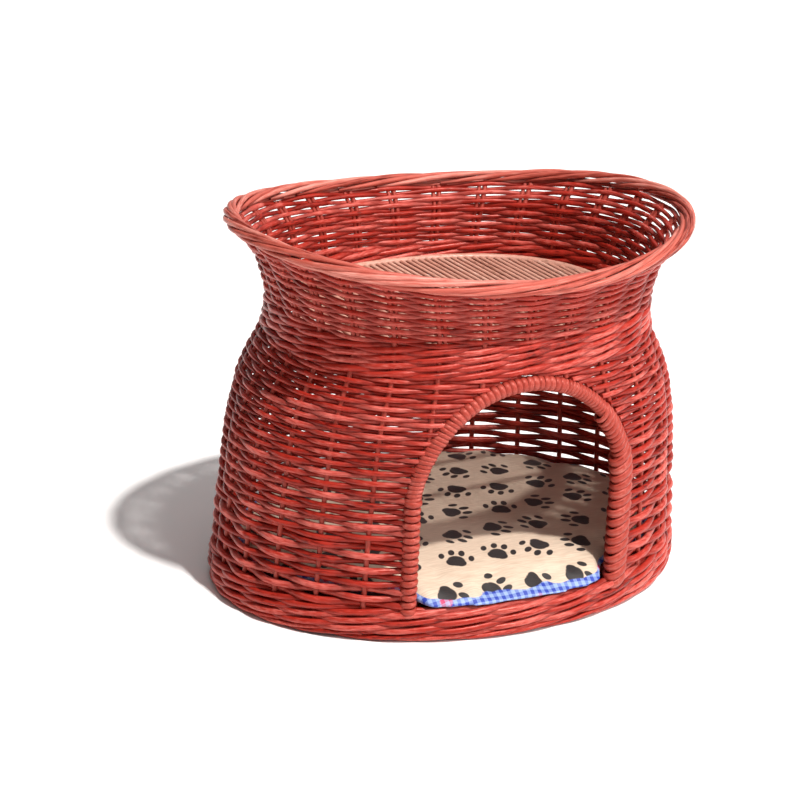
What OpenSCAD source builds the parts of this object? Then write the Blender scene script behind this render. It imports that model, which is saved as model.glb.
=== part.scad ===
// Two-storey oval wicker pet basket: a woven cave with an arched doorway, a sleeping tray
// on top of it, and a loose cushion on the cave's floor.
// Origin: centre of the foot, on the ground. +X runs along the oval, -Y is the doorway side.

/* [Oval outline] */
// Length of the foot, over the weave
foot_length = 540; // [460:4:648]
// Depth of the foot, over the weave
foot_depth = 390; // [330:10:450]
// Length of the cave where its walls begin to close in
body_length = 512; // [440:8:600]
// Depth of the cave where its walls begin to close in
body_depth = 386; // [330:8:440]
// Length over the cave's shoulder
shoulder_length = 492; // [430:8:560]
// Depth over the cave's shoulder
shoulder_depth = 376; // [320:8:430]
// Length of the waist between cave and tray
waist_length = 420; // [380:5:450]
// Depth of the waist between cave and tray
waist_depth = 334; // [300:5:360]
// Length of the tray where it begins to flare
flare_length = 456; // [420:6:500]
// Depth of the tray where it begins to flare
flare_depth = 344; // [310:6:380]
// Length over the rim border
rim_length = 520; // [460:10:600]
// Depth over the rim border
rim_depth = 386; // [340:8:440]

/* [Heights] */
// Height of the foot border
foot_border_height = 12; // [8:1:16]
// Height of the top of the foot's waling, which is also the door sill
sill_height = 37; // [30:1:46]
// Height where the cave walls begin to close in
body_height = 180; // [150:5:195]
// Height of the cave's shoulder
shoulder_height = 226; // [210:4:242]
// Height of the waist, where the tray floor sits
waist_height = 306; // [298:2:316]
// Height where the tray begins to flare
flare_height = 362; // [356:2:372]
// Mean height of the middle of the rim border
rim_height = 397; // [388:1:476]
// How far the rim rises at both ends and dips at front and back
rim_rise = 10; // [0:1:14]
// How much higher the left end of the rim is than its mean
rim_lean = 4; // [0:1:6]

/* [Weave] */
// Thickness of the woven wall
wall = 12; // [11:0.2:14.4]
// Room between a stake and the weave on each side of it
stake_clearance = 0.2; // [0.1:0.05:0.3]
// Diameter of a stake
stake_d = 5; // [3.5:0.1:5]
// Number of stakes round the oval
stakes = 28; // [24:4:32]
// Height of the top of the coarse weave low on the cave wall
coarse_top = 108; // [90:2:108]
// Half thickness of the plaited rim border
border_half = 8; // [6:0.5:10]

/* [Doorway] */
// Clear width of the doorway, inside its hoop
door_width = 240; // [190:5:260]
// How far the doorway's middle stands to the right of the basket's
door_shift = 4; // [0:1:8]
// Height of the clear doorway's top above the ground
door_top = 270; // [250:5:275]
// Height where the doorway's arch springs
door_spring = 145; // [115:5:170]
// Diameter of the bent hoop round the doorway
hoop_d = 9; // [7:0.5:10]
// Diameter over the strands wrapped round the hoop
wrap_d = 15; // [13:0.5:17]

/* [Cave floor] */
// Diameter of the floor's oval hoop and of its cross sticks
floor_hoop_d = 8; // [6:0.5:10]
// Diameter of the rods laid along the floor
floor_rod_d = 5; // [4:0.5:6]
// Spacing of the rods laid along the floor
floor_rod_pitch = 9; // [7:0.5:14]
// Number of cross sticks under the floor
cross_sticks = 9; // [5:2:13]

/* [Tray floor] */
// Height of the top of the slats above the waist
tray_rise = 3; // [0:1:10]
// Height of the tray floor's oval hoop
tray_hoop_height = 11; // [9:1:13]
// Diameter of a slat
slat_d = 5.4; // [4:0.2:6]
// Spacing of the slats
slat_pitch = 7.5; // [7:0.5:12]
// Angle of the slats to the basket's depth
slat_turn = 7.5; // [0:0.5:15]
// Diameter of the bearers under the slats
bearer_d = 8; // [6:0.5:9]
// Spacing of the three bearers
bearer_pitch = 78; // [60:2:90]
// Gap between the tray floor and the wall
tray_gap = 1.5; // [0.5:0.5:5]

/* [Cushion] */
// Gap between the cushion and the wall all round, at the top of the cushion's lift
cushion_clearance = 8; // [4:1:40]
// How far the loose cushion can be lifted
cushion_lift = 80; // [20:10:80]
// Thickness of the cushion at its middle
cushion_thickness = 44; // [30:2:60]
// Thickness of the fabric
fabric = 1.5; // [1:0.1:2.5]
// Gap between the cushion and the floor's rods
cushion_gap = 0.4; // [0.3:0.1:1]

/* [Hidden] */

WILLOW = [0.66, 0.20, 0.15];
WILLOW_LIGHT = [0.76, 0.30, 0.24];
WILLOW_DARK = [0.48, 0.12, 0.09];
NATURAL = [0.86, 0.67, 0.52];
PRINTED_COTTON = [0.87, 0.78, 0.66];
GINGHAM = [0.35, 0.45, 0.75];
WADDING = [0.95, 0.95, 0.93];

// The wall's outline is an oval at each of these heights. Squareness 2 is a true ellipse.
STATIONS = [0, body_height, shoulder_height, waist_height, flare_height, rim_height];
LENGTHS = [foot_length, body_length, shoulder_length, waist_length, flare_length, rim_length];
DEPTHS = [foot_depth, body_depth, shoulder_depth, waist_depth, flare_depth, rim_depth];
SQUARENESS = [2, 2, 2.05, 2.3, 2.1, 2];

// The wall is meshed with two columns to a stake, so that stakes stand on its corners.
skin = (wall - stake_d)/2 - stake_clearance;
columns = 2*stakes;
column_turn = 360/columns;
stake_turn = 360/stakes;
front = 270;
// Stakes on each side of the middle one that the doorway interrupts
door_stakes = 3;
edge_columns = 2*door_stakes;
edge_turn = door_stakes*stake_turn;
// Last stake of each end; the rest stand in the back wall
side_last = floor(0.375*stakes);

// Small gap left between pieces that lie against each other.
rest_gap = 0.3;
weave_top = rim_height - border_half;
arch_half_width = (door_width + hoop_d)/2;
arch_top = door_top + hoop_d/2;

// The weave stops at an arch of straight runs that clears the strands round the door hoop.
weave_arch_steps = 5;
weave_arch_turn = 90/weave_arch_steps;
weave_arch_scale = 1/cos(weave_arch_turn/2);
weave_arch_half = (arch_half_width + wrap_d/2 + rest_gap)*weave_arch_scale;
weave_arch_rise = (arch_top - door_spring + wrap_d/2 + rest_gap)*weave_arch_scale;
crown_half = 1;
crown_top = door_spring + weave_arch_rise;

FOOT_LEVELS = [foot_border_height, sill_height];
LOWER_LEVELS = [sill_height, (sill_height + coarse_top)/2, coarse_top];
ARCH_LEVELS = [for (i = [0:weave_arch_steps]) door_spring + weave_arch_rise*sin(i*weave_arch_turn)];
MIDDLE_LEVELS = [coarse_top, ARCH_LEVELS[0], ARCH_LEVELS[1]];
UPPER_LEVELS = [for (i = [1:weave_arch_steps]) ARCH_LEVELS[i]];
// The waist's band of long strands reaches this far above the waist.
waist_band = 12;
tray_start = waist_height + waist_band;
WAIST_LEVELS = [crown_top, waist_height, tray_start];
TRAY_LEVELS = [tray_start, (tray_start + flare_height)/2, flare_height, (flare_height + weave_top)/2];

floor_top = foot_border_height + floor_hoop_d + floor_rod_d;
tray_top = waist_height + tray_rise;
cushion_middle = floor_top + cushion_gap + cushion_thickness/2;

// ---- curves -------------------------------------------------------------------------

// Slope of the smooth curve through the stations; it is level wherever the curve turns back.
function rate(i, hs, vs) = (vs[i + 1] - vs[i])/(hs[i + 1] - hs[i]);
function slope(i, hs, vs) =
    i == 0 ? rate(0, hs, vs)
    : i == len(hs) - 1 ? rate(i - 1, hs, vs)
    : let (before = rate(i - 1, hs, vs), after = rate(i, hs, vs))
        before*after <= 0 ? 0 : 2*before*after/(before + after);
function segment(h, hs, i = 0) = i >= len(hs) - 2 || h <= hs[i + 1] ? i : segment(h, hs, i + 1);
function through(h, hs, vs) =
    let (
        i = segment(h, hs),
        w = hs[i + 1] - hs[i],
        u = (h - hs[i])/w,
        a = slope(i, hs, vs)*w,
        b = slope(i + 1, hs, vs)*w
    )
    vs[i] + u*(a + u*(3*(vs[i + 1] - vs[i]) - 2*a - b + u*(a + b - 2*(vs[i + 1] - vs[i]))));

function half_length(h) = through(h, STATIONS, LENGTHS)/2;
function half_depth(h) = through(h, STATIONS, DEPTHS)/2;

// Point at angle t on an oval; the power makes it squarer than an ellipse.
function oval(a, b, t, power = 2) =
    let (k = pow(pow(abs(cos(t)), power) + pow(abs(sin(t)), power), -1/power))
    [a*k*cos(t), b*k*sin(t)];

// The rim is a saddle, and the tray's levels stretch to meet it.
function rim_z(t) = rim_height + rim_rise*cos(2*t) - rim_lean*cos(t);
function level(h, t) =
    h <= waist_height ? h
    : let (stretch = (rim_z(t) - border_half - waist_height)/(weave_top - waist_height))
        waist_height + (h - waist_height)*stretch;

// Point of the wall at nominal height h and angle t, inset from its outer face.
function wall_point(h, t, inset) =
    let (p = oval(half_length(h) - inset, half_depth(h) - inset, t, through(h, STATIONS, SQUARENESS)))
    [p[0], p[1], level(h, t)];

// Half width of the gap that the weave leaves at height h. It never quite closes.
function gap_half(h) =
    let (up = max(0, h - door_spring)/weave_arch_rise)
    max(crown_half, weave_arch_half*sqrt(max(0, 1 - up*up)));

// Angle from the front at which the weave stops, right (side = 1) or left (-1) of the doorway.
function door_turn(h, inset, side) =
    asin((gap_half(h) + side*door_shift)/(half_length(h) - inset));

// ---- meshes -------------------------------------------------------------------------

// Round rods and tubes have this many sides, and stakes fewer. Tubes rest on a flat side.
sides = 8;
side_turn = 360/sides;
flat_turn = side_turn/2;
stake_sides = 6;

function unit(v) = v/norm(v);
function flat(lists) = [for (l = lists) each l];
function quad(a, b, c, d) = [[a, b, c], [a, c, d]];

// Closed solid between two grids of points, each a list of rows from bottom to top.
// Rows run anticlockwise seen from above, and a ring's rows join end to end.
module shell(outer, inner, ring) {
    rows = len(outer);
    cols = len(outer[0]);
    size = rows*cols;
    steps = ring ? cols : cols - 1;
    last = (rows - 1)*cols;
    outside = [for (r = [0:rows - 2], c = [0:steps - 1]) let (d = (c + 1)%cols)
        quad(r*cols + c, (r + 1)*cols + c, (r + 1)*cols + d, r*cols + d)];
    inside = [for (r = [0:rows - 2], c = [0:steps - 1]) let (d = (c + 1)%cols)
        quad(size + r*cols + d, size + (r + 1)*cols + d, size + (r + 1)*cols + c, size + r*cols + c)];
    bottom = [for (c = [0:steps - 1]) let (d = (c + 1)%cols) quad(c, d, size + d, size + c)];
    top = [for (c = [0:steps - 1]) let (d = (c + 1)%cols)
        quad(last + c, size + last + c, size + last + d, last + d)];
    ends = ring ? [] : [for (r = [0:rows - 2]) each [
        quad(r*cols, size + r*cols, size + (r + 1)*cols, (r + 1)*cols),
        quad((r + 1)*cols - 1, (r + 2)*cols - 1, size + (r + 2)*cols - 1, size + (r + 1)*cols - 1)
    ]];
    polyhedron(
        concat(flat(outer), flat(inner)),
        flat(concat(outside, inside, bottom, top, ends))
    );
}

// Solid rod through a list of sections, each a loop of points that turns the same way.
// Looking along the rod, the loops turn anticlockwise. Each side is split along one diagonal;
// turned takes the other one, to fit face to face in a shell whose rows run the other way.
module rod(sections, ring = false, turned = false) {
    count = len(sections);
    size = len(sections[0]);
    steps = ring ? count : count - 1;
    walls = [for (s = [0:steps - 1], k = [0:size - 1])
        let (n = (s + 1)%count, l = (k + 1)%size)
        turned ? quad(n*size + l, n*size + k, s*size + k, s*size + l)
               : quad(s*size + l, n*size + l, n*size + k, s*size + k)];
    caps = ring ? [] : [
        [for (k = [size - 1:-1:0]) k],
        [for (k = [0:size - 1]) (count - 1)*size + k]
    ];
    polyhedron(flat(sections), concat(flat(walls), caps));
}

// ---- shapes that repeat --------------------------------------------------------------

// Level band of weave. It passes outside and inside the stakes, which stand between its faces.
module woven_band(levels) {
    for (face = [[0, skin], [wall - skin, wall]]) {
        grids = [for (inset = face) [for (h = levels)
            [for (c = [0:columns - 1]) wall_point(h, c*column_turn, inset)]]];
        shell(grids[0], grids[1], true);
    }
}

// Angles of the columns of a row that stops at the doorway.
function open_row(h, inset) =
    let (right = door_turn(h, inset, 1), left = door_turn(h, inset, -1))
    concat(
        [for (c = [0:edge_columns - 1]) front + right + c*(edge_turn - right)/edge_columns],
        [for (c = [edge_columns:columns - edge_columns]) front + c*column_turn],
        [for (c = [edge_columns - 1:-1:0]) front + 360 - left - c*(edge_turn - left)/edge_columns]
    );

// Band of weave with the doorway left open in it.
module open_band(levels) {
    for (face = [[0, skin], [wall - skin, wall]]) {
        grids = [for (inset = face) [for (h = levels)
            [for (t = open_row(h, inset)) wall_point(h, t, inset)]]];
        shell(grids[0], grids[1], false);
    }
}

// Section of an oval tube with flat sides at height z, following the outline at height h.
function oval_section(h, t, inset, half, z) =
    [for (k = [0:sides - 1])
        let (turn = k*side_turn + flat_turn, r = half/cos(flat_turn))
        let (p = wall_point(h, t, inset - r*cos(turn)))
        [p[0], p[1], z + r*sin(turn)]];

module oval_tube(h, inset, half, z) {
    rod([for (c = [0:columns - 1]) oval_section(h, c*column_turn, inset, half, z)], ring = true);
}

// Stake at angle t, standing between the two faces of the weave. It may be shifted along them.
module stake(t, levels, shift = 0) {
    rod([for (h = levels)
        let (along = unit(wall_point(h, t + column_turn, wall/2) - wall_point(h, t, wall/2)))
        [for (k = [stake_sides - 1:-1:0])
            let (turn = (k + 0.5)*360/stake_sides)
            wall_point(h, t, wall/2 - stake_d/2*cos(turn))
                + along*shift
                + [-sin(t), cos(t), 0]*stake_d/2*sin(turn)]]);
}

function after_first(list) = [for (i = [1:len(list) - 1]) list[i]];
BYE_STAKE_LEVELS = concat(after_first(TRAY_LEVELS), [weave_top - rest_gap]);
ARCH_STAKE_LEVELS = concat(WAIST_LEVELS, after_first(TRAY_LEVELS), [weave_top]);
STAKE_LEVELS = concat(
    FOOT_LEVELS,
    after_first(LOWER_LEVELS),
    after_first(MIDDLE_LEVELS),
    after_first(UPPER_LEVELS),
    after_first(ARCH_STAKE_LEVELS)
);
bye_shift = stake_d + rest_gap;

// Middle of the door hoop where the arch has turned through angle s, 0 at the right spring.
function arch_middle(s) =
    let (
        x = door_shift + arch_half_width*cos(s),
        h = door_spring + (arch_top - door_spring)*sin(s)
    )
    on_wall(x, h);
// Point in the middle of the front wall at a given x and height.
function on_wall(x, h) =
    let (p = [half_length(h) - wall/2, half_depth(h) - wall/2])
    [x, -p[1]*sqrt(1 - pow(x/p[0], 2)), h];

// Middles of the hoop from the right foot over the arch to the left foot.
post_steps = 3;
arch_steps = 20;
function post_height(i) = sill_height + (door_spring - sill_height)*i/post_steps;
RIGHT_POST = [for (i = [0:post_steps]) on_wall(door_shift + arch_half_width, post_height(i))];
ARCH = [for (i = [1:arch_steps - 1]) arch_middle(180*i/arch_steps)];
LEFT_POST = [for (i = [post_steps:-1:0]) on_wall(door_shift - arch_half_width, post_height(i))];
HOOP_PATH = concat(RIGHT_POST, ARCH, LEFT_POST);

hoop_last = len(HOOP_PATH) - 1;

// Section of the hoop or its wrapping at step i of the path. Its ends are level.
function hoop_section(i, d) =
    let (
        p = HOOP_PATH[i],
        ahead =
            i == 0 ? [0, 0, 1]
            : i == hoop_last ? [0, 0, -1]
            : unit(HOOP_PATH[i + 1] - HOOP_PATH[i - 1]),
        out = unit([p[0]/pow(half_length(0), 2), p[1]/pow(half_depth(0), 2), 0]),
        side = unit(cross(ahead, out)),
        face = cross(side, ahead)
    )
    [for (k = [0:sides - 1]) p + d/2*(cos(k*side_turn)*face + sin(k*side_turn)*side)];

// Strands wrapped round the hoop over steps first to last, as one ridged sleeve.
wrap_ridge = 1.2;
module wrapping(first, last) {
    shell(
        [for (i = [first:last]) hoop_section(i, wrap_d - (i%2)*wrap_ridge)],
        [for (i = [first:last]) hoop_section(i, hoop_d)],
        true
    );
}

// Rod lying level along X from -half to half.
module level_rod(d, half) {
    rotate([0, 90, 0])
        rotate(flat_turn)
            cylinder(h = 2*half, d = d/cos(flat_turn), center = true, $fn = sides);
}

// Pillow surface: rows of ovals from the seam to the crown, at a given share of its thickness.
CUSHION_ROWS = [1, 0.97, 0.9, 0.75, 0.45];
cushion_columns = stakes;
cushion_column_turn = 360/cushion_columns;
cushion_half_length = half_length(cushion_middle + cushion_lift) - wall - cushion_clearance;
cushion_half_depth = half_depth(cushion_middle + cushion_lift) - wall - cushion_clearance;
pillow_power = 3;
function pillow_rise(share) = sqrt(1 - pow(share, pillow_power));
function pillow_point(share, inset, t) =
    oval(share*(cushion_half_length - inset), share*(cushion_half_depth - inset), t);
function pillow_grid(inset, up) =
    [for (share = CUSHION_ROWS) [for (c = [0:cushion_columns - 1])
        let (p = pillow_point(share, inset, c*cushion_column_turn))
        [p[0], p[1], cushion_middle + up*pillow_rise(share)*(cushion_thickness/2 - inset)]]];

// Upper (up = 1) or lower (up = -1) half of the cushion's cover, with a flat crown.
module pillow_cover(up) {
    outer = pillow_grid(0, up);
    inner = pillow_grid(fabric, up);
    n = cushion_columns;
    rows = len(outer);
    outside = [for (r = [0:rows - 2], c = [0:n - 1]) let (d = (c + 1)%n)
        up > 0 ? quad(r*n + c, (r + 1)*n + c, (r + 1)*n + d, r*n + d)
               : quad(r*n + d, (r + 1)*n + d, (r + 1)*n + c, r*n + c)];
    size = rows*n;
    inside = [for (r = [0:rows - 2], c = [0:n - 1]) let (d = (c + 1)%n)
        up > 0 ? quad(size + r*n + d, size + (r + 1)*n + d, size + (r + 1)*n + c, size + r*n + c)
               : quad(size + r*n + c, size + (r + 1)*n + c, size + (r + 1)*n + d, size + r*n + d)];
    seam = [for (c = [0:n - 1]) let (d = (c + 1)%n)
        up > 0 ? quad(c, d, size + d, size + c) : quad(d, c, size + c, size + d)];
    crown_out = [for (c = [0:n - 1]) (rows - 1)*n + (up > 0 ? n - 1 - c : c)];
    crown_in = [for (c = [0:n - 1]) size + (rows - 1)*n + (up > 0 ? c : n - 1 - c)];
    polyhedron(
        concat(flat(outer), flat(inner)),
        concat(flat(outside), flat(inside), flat(seam), [crown_out, crown_in])
    );
}

// ---- sub-parts ------------------------------------------------------------------------

// Plaited border that the basket stands on.
module foot_border() {
    color(WILLOW_DARK)
        oval_tube(0, foot_border_height/2, foot_border_height/2, foot_border_height/2);
}

// Rows of waling above the foot, whose top is the door sill.
module foot_waling() {
    color(WILLOW) woven_band(FOOT_LEVELS);
}

// Coarse, open weave low on the cave wall.
module cave_weave_lower() {
    color(WILLOW) open_band(LOWER_LEVELS);
}

// Weave at the middle of the cave wall.
module cave_weave_middle() {
    color(WILLOW) open_band(MIDDLE_LEVELS);
}

// Fine weave that closes in over the doorway.
module cave_weave_upper() {
    color(WILLOW_DARK) open_band(UPPER_LEVELS);
}

// Band of long strands at the waist that grips the tray floor.
module waist_waling() {
    color(WILLOW_LIGHT) woven_band(WAIST_LEVELS);
}

// Open weave of the flaring tray wall.
module tray_weave() {
    color(WILLOW) woven_band(concat(TRAY_LEVELS, [weave_top - rest_gap]));
}

// Plaited border along the tray's saddle-shaped rim.
module rim_border() {
    color(WILLOW_LIGHT)
        rod(
            [for (c = [0:columns - 1])
                let (t = c*column_turn)
                oval_section(rim_height, t, border_half, border_half, rim_z(t))],
            ring = true
        );
}

// Stakes of the left end, between the doorway and the back.
module left_stakes() {
    color(WILLOW)
        for (k = [door_stakes:side_last]) stake(front - k*stake_turn, STAKE_LEVELS);
}

// Stakes of the right end, between the doorway and the back.
module right_stakes() {
    color(WILLOW)
        for (k = [door_stakes:side_last]) stake(front + k*stake_turn, STAKE_LEVELS);
}

// Stakes of the back wall.
module back_stakes() {
    color(WILLOW)
        for (k = [side_last + 1:stakes - side_last - 1]) stake(front + k*stake_turn, STAKE_LEVELS);
}

// Short stakes that start on the doorway's arch.
module arch_stakes() {
    color(WILLOW)
        for (k = [1 - door_stakes:door_stakes - 1]) stake(front + k*stake_turn, ARCH_STAKE_LEVELS);
}

// Second stakes pushed in beside the first in the tray wall.
module bye_stakes() {
    color(WILLOW)
        for (k = [0:stakes - 1]) stake(front + k*stake_turn, BYE_STAKE_LEVELS, bye_shift);
}

// Bent hoop that frames the doorway.
module door_hoop() {
    color(WILLOW_LIGHT)
        rod([for (i = [hoop_last:-1:0]) hoop_section(i, hoop_d)], turned = true);
}

// Steps of the path between which the crown of the hoop is lashed
crown_first = post_steps + arch_steps/4;
crown_last = hoop_last - crown_first;

// Strand wound tightly over the crown of the hoop.
module door_lashing() {
    color(WILLOW_LIGHT) wrapping(crown_first, crown_last);
}

// Ends of the weavers that turn round the hoop's left side.
module door_edge_left() {
    color(WILLOW) wrapping(crown_last, hoop_last);
}

// Ends of the weavers that turn round the hoop's right side.
module door_edge_right() {
    color(WILLOW) wrapping(0, crown_first);
}

// Gap between the wall and the cave floor's hoop, and between either hoop and the rods inside it.
floor_gap = 1.2;
hoop_clearance = 1;
// Rods lying on others are this much thinner than the room left for them.
lying_gap = 0.02;

// Half the length of a rod in an oval of half length a and half depth b, aside from its middle.
function rod_half(a, b, aside) = a*sqrt(1 - pow(aside/b, 2));

// Half sizes of the wall beside the cave floor, where it is narrowest there.
FLOOR_SIDE = [foot_border_height, floor_top];
floor_side_length = min([for (h = FLOOR_SIDE) half_length(h)]);
floor_side_depth = min([for (h = FLOOR_SIDE) half_depth(h)]);

// Section of the floor's hoop at angle t.
function floor_hoop_section(t) =
    let (half = floor_hoop_d/2, r = half/cos(flat_turn))
    [for (k = [0:sides - 1])
        let (turn = k*side_turn + flat_turn, out = r*cos(turn) - wall - floor_gap - half)
        let (p = oval(floor_side_length + out, floor_side_depth + out, t))
        [p[0], p[1], foot_border_height + half + r*sin(turn)]];

// Oval hoop at the edge of the cave floor, bound inside the foot's waling.
module floor_hoop() {
    color(WILLOW_DARK)
        rod([for (c = [0:columns - 1]) floor_hoop_section(c*column_turn)], ring = true);
}

// Sticks across the cave floor, under its rods.
module floor_cross_sticks() {
    room = wall + floor_gap + floor_hoop_d + hoop_clearance;
    room_length = floor_side_length - room;
    room_depth = floor_side_depth - room;
    pitch = 2*room_length/(cross_sticks + 1);
    middle = (cross_sticks - 1)/2;
    color(WILLOW_DARK)
        for (k = [-middle:middle])
            translate([k*pitch, 0, foot_border_height + floor_hoop_d/2])
                rotate(90)
                    level_rod(
                        floor_hoop_d - lying_gap,
                        rod_half(room_depth, room_length, abs(k*pitch) + floor_hoop_d/2)
                    );
}

// Rods laid lengthwise, which are the surface of the cave floor.
module floor_rods() {
    room = wall + floor_gap + floor_hoop_d/4;
    room_length = floor_side_length - room;
    room_depth = floor_side_depth - room;
    count = floor((room_depth - floor_rod_d)/floor_rod_pitch);
    color(WILLOW)
        for (k = [-count:count])
            translate([0, k*floor_rod_pitch, floor_top - floor_rod_d/2])
                level_rod(
                    floor_rod_d,
                    rod_half(room_length, room_depth, abs(k*floor_rod_pitch) + floor_rod_d/2)
                );
}

tray_hoop_half = tray_hoop_height/2;
tray_inset = wall + tray_gap + tray_hoop_half;
// The hoop stands this much above the slats inside it.
tray_lip = 1;
// Room inside the tray's hoop, with a little clearance.
tray_room_inset = tray_inset + tray_hoop_half + hoop_clearance;
tray_room_length = half_length(waist_height) - tray_room_inset;
tray_room_depth = half_depth(waist_height) - tray_room_inset;
tray_power = through(waist_height, STATIONS, SQUARENESS);

// Smooth oval hoop at the edge of the tray floor, wedged in the waist.
module tray_hoop() {
    color(NATURAL)
        oval_tube(waist_height, tray_inset, tray_hoop_half, tray_top + tray_lip - tray_hoop_half);
}

// Whether a point is in the room inside the tray's hoop.
function in_tray(p) =
    pow(abs(p[0])/tray_room_length, tray_power) + pow(abs(p[1])/tray_room_depth, tray_power) < 1;

// Distance from the point start along the direction dir to the edge of that room, by halving.
halvings = 14;
function tray_reach(start, dir, low = 0, high = foot_length, tries = halvings) =
    tries == 0 ? low
    : let (middle = (low + high)/2, inside = in_tray(start + middle*dir))
        tray_reach(start, dir, inside ? middle : low, inside ? high : middle, tries - 1);

// Rod across the tray, turned from X and moved sideways, cut to the room inside the hoop.
module tray_rod(d, turn, offset, z) {
    dir = [cos(turn), sin(turn)];
    edge = (offset + (offset < 0 ? -d/2 : d/2))*[-sin(turn), cos(turn)];
    far = tray_reach(edge, dir);
    near = tray_reach(edge, -dir);
    rotate(turn)
        translate([(far - near)/2, offset, z])
            level_rod(d, (far + near)/2);
}

// Bearers that carry the slats.
module tray_bearers() {
    color(NATURAL)
        for (k = [-1:1])
            tray_rod(bearer_d - lying_gap, slat_turn, k*bearer_pitch, tray_top - slat_d - bearer_d/2);
}

// Row of rods side by side, which are the surface of the tray floor.
module tray_slats() {
    // The outermost slats stop this far short of the room's ends.
    end_room = 4*slat_d;
    count = floor((tray_room_length - end_room)/slat_pitch);
    color(NATURAL)
        for (k = [-count:count])
            tray_rod(slat_d, 90 + slat_turn, k*slat_pitch, tray_top - slat_d/2);
}

// Printed cotton top of the cushion.
module cushion_top_cover() {
    color(PRINTED_COTTON) pillow_cover(1);
}

// Checked cotton underside of the cushion.
module cushion_bottom_cover() {
    color(GINGHAM) pillow_cover(-1);
}

// Wadding inside the covers.
module cushion_filling() {
    upper = pillow_grid(fabric, 1);
    lower = pillow_grid(fabric, -1);
    rows = len(upper);
    color(WADDING)
        rod(concat(
            [for (r = [rows - 1:-1:0]) upper[r]],
            [for (r = [1:rows - 1]) lower[r]]
        ), turned = true);
}

foot_border();
foot_waling();
cave_weave_lower();
cave_weave_middle();
cave_weave_upper();
waist_waling();
tray_weave();
rim_border();
left_stakes();
right_stakes();
back_stakes();
arch_stakes();
bye_stakes();
door_hoop();
door_lashing();
door_edge_left();
door_edge_right();
floor_hoop();
floor_cross_sticks();
floor_rods();
tray_hoop();
tray_bearers();
tray_slats();
cushion_top_cover();
cushion_bottom_cover();
cushion_filling();
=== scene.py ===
# %% [markdown]
# # A two-storey wicker basket for a pet
# The basket is a woven cave with an arched doorway, and a tray with a slatted floor on top.
# A willow wall is nothing but rods: upright stakes, and weavers that pass in front of one
# stake and behind the next. So every rod here is a real tube, grown by Geometry Nodes along
# one curved wall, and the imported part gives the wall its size.

from math import asin, cos, pi, sin, sqrt

import bpy
from mathutils import Matrix, Vector, noise


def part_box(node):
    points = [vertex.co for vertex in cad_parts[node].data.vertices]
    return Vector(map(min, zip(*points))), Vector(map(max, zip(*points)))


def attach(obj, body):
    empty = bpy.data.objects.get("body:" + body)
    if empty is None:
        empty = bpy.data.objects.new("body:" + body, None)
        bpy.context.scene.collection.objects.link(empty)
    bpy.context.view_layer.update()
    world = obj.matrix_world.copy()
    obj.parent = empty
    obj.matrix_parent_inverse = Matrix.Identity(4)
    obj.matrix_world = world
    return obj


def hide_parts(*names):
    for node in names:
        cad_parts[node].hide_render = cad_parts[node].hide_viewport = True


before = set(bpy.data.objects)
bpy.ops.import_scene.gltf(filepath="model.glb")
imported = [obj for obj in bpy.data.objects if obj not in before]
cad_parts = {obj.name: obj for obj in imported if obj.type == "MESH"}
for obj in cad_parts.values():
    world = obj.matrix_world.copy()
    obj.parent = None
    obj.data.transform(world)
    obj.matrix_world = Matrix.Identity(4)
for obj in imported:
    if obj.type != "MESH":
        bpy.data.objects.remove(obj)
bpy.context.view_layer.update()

# %% [markdown]
# ## The wall that all the rods follow
# In plan the wall is an oval, and its length and depth change with the height: barrel below,
# narrow waist, flaring tray. A smooth curve through six stations gives both at any height.
# The tray's levels stretch to meet the rim, which is a saddle. These are the part's own sizes.

# %% Oval at every height
MM = 0.001
STATIONS = [0, 180, 226, 306, 362, 397]
LENGTHS = [540, 512, 492, 420, 456, 520]
DEPTHS = [390, 386, 376, 334, 344, 386]
SQUARENESS = [2, 2, 2.05, 2.3, 2.1, 2]
WAIST = 306
WEAVE_TOP = 389
WALL_MIDDLE = 6
RIM_HEIGHT, RIM_RISE, RIM_LEAN = 397, 10, 4


def slope(i, values):
    """Slope of the curve at a station; it is level where the curve turns back."""
    rates = [(b - a)/(k - h) for a, b, h, k in zip(values, values[1:], STATIONS, STATIONS[1:])]
    if i == 0 or i == len(rates):
        return rates[max(0, i - 1)]
    before, after = rates[i - 1], rates[i]
    return 0 if before*after <= 0 else 2*before*after/(before + after)


def through(h, values):
    """Value at height h of the smooth curve through the stations."""
    i = max(n for n in range(len(STATIONS) - 1) if n == 0 or h > STATIONS[n])
    w = STATIONS[i + 1] - STATIONS[i]
    u = (h - STATIONS[i])/w
    a, b = slope(i, values)*w, slope(i + 1, values)*w
    rise = values[i + 1] - values[i]
    return values[i] + u*(a + u*(3*rise - 2*a - b + u*(a + b - 2*rise)))


def level(h, t):
    """Real height of the wall's level h at angle t."""
    if h <= WAIST:
        return h
    rim = RIM_HEIGHT + RIM_RISE*cos(2*t) - RIM_LEAN*cos(t)
    return WAIST + (h - WAIST)*(rim - (RIM_HEIGHT - WEAVE_TOP) - WAIST)/(WEAVE_TOP - WAIST)


def wall_point(h, turn):
    """Middle of the wall at level h; turn runs from 0 to 1, anticlockwise from the front."""
    t = 2*pi*(turn - 0.25)
    power = through(h, SQUARENESS)
    k = (abs(cos(t))**power + abs(sin(t))**power)**(-1/power)
    a, b = through(h, LENGTHS)/2 - WALL_MIDDLE, through(h, DEPTHS)/2 - WALL_MIDDLE
    return Vector((a*k*cos(t), b*k*sin(t), level(h, t)))*MM


def outward(h, turn):
    """Level direction that points out of the wall."""
    t = 2*pi*(turn - 0.25)
    return Vector((cos(t)/through(h, LENGTHS), sin(t)/through(h, DEPTHS), 0)).normalized()


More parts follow.
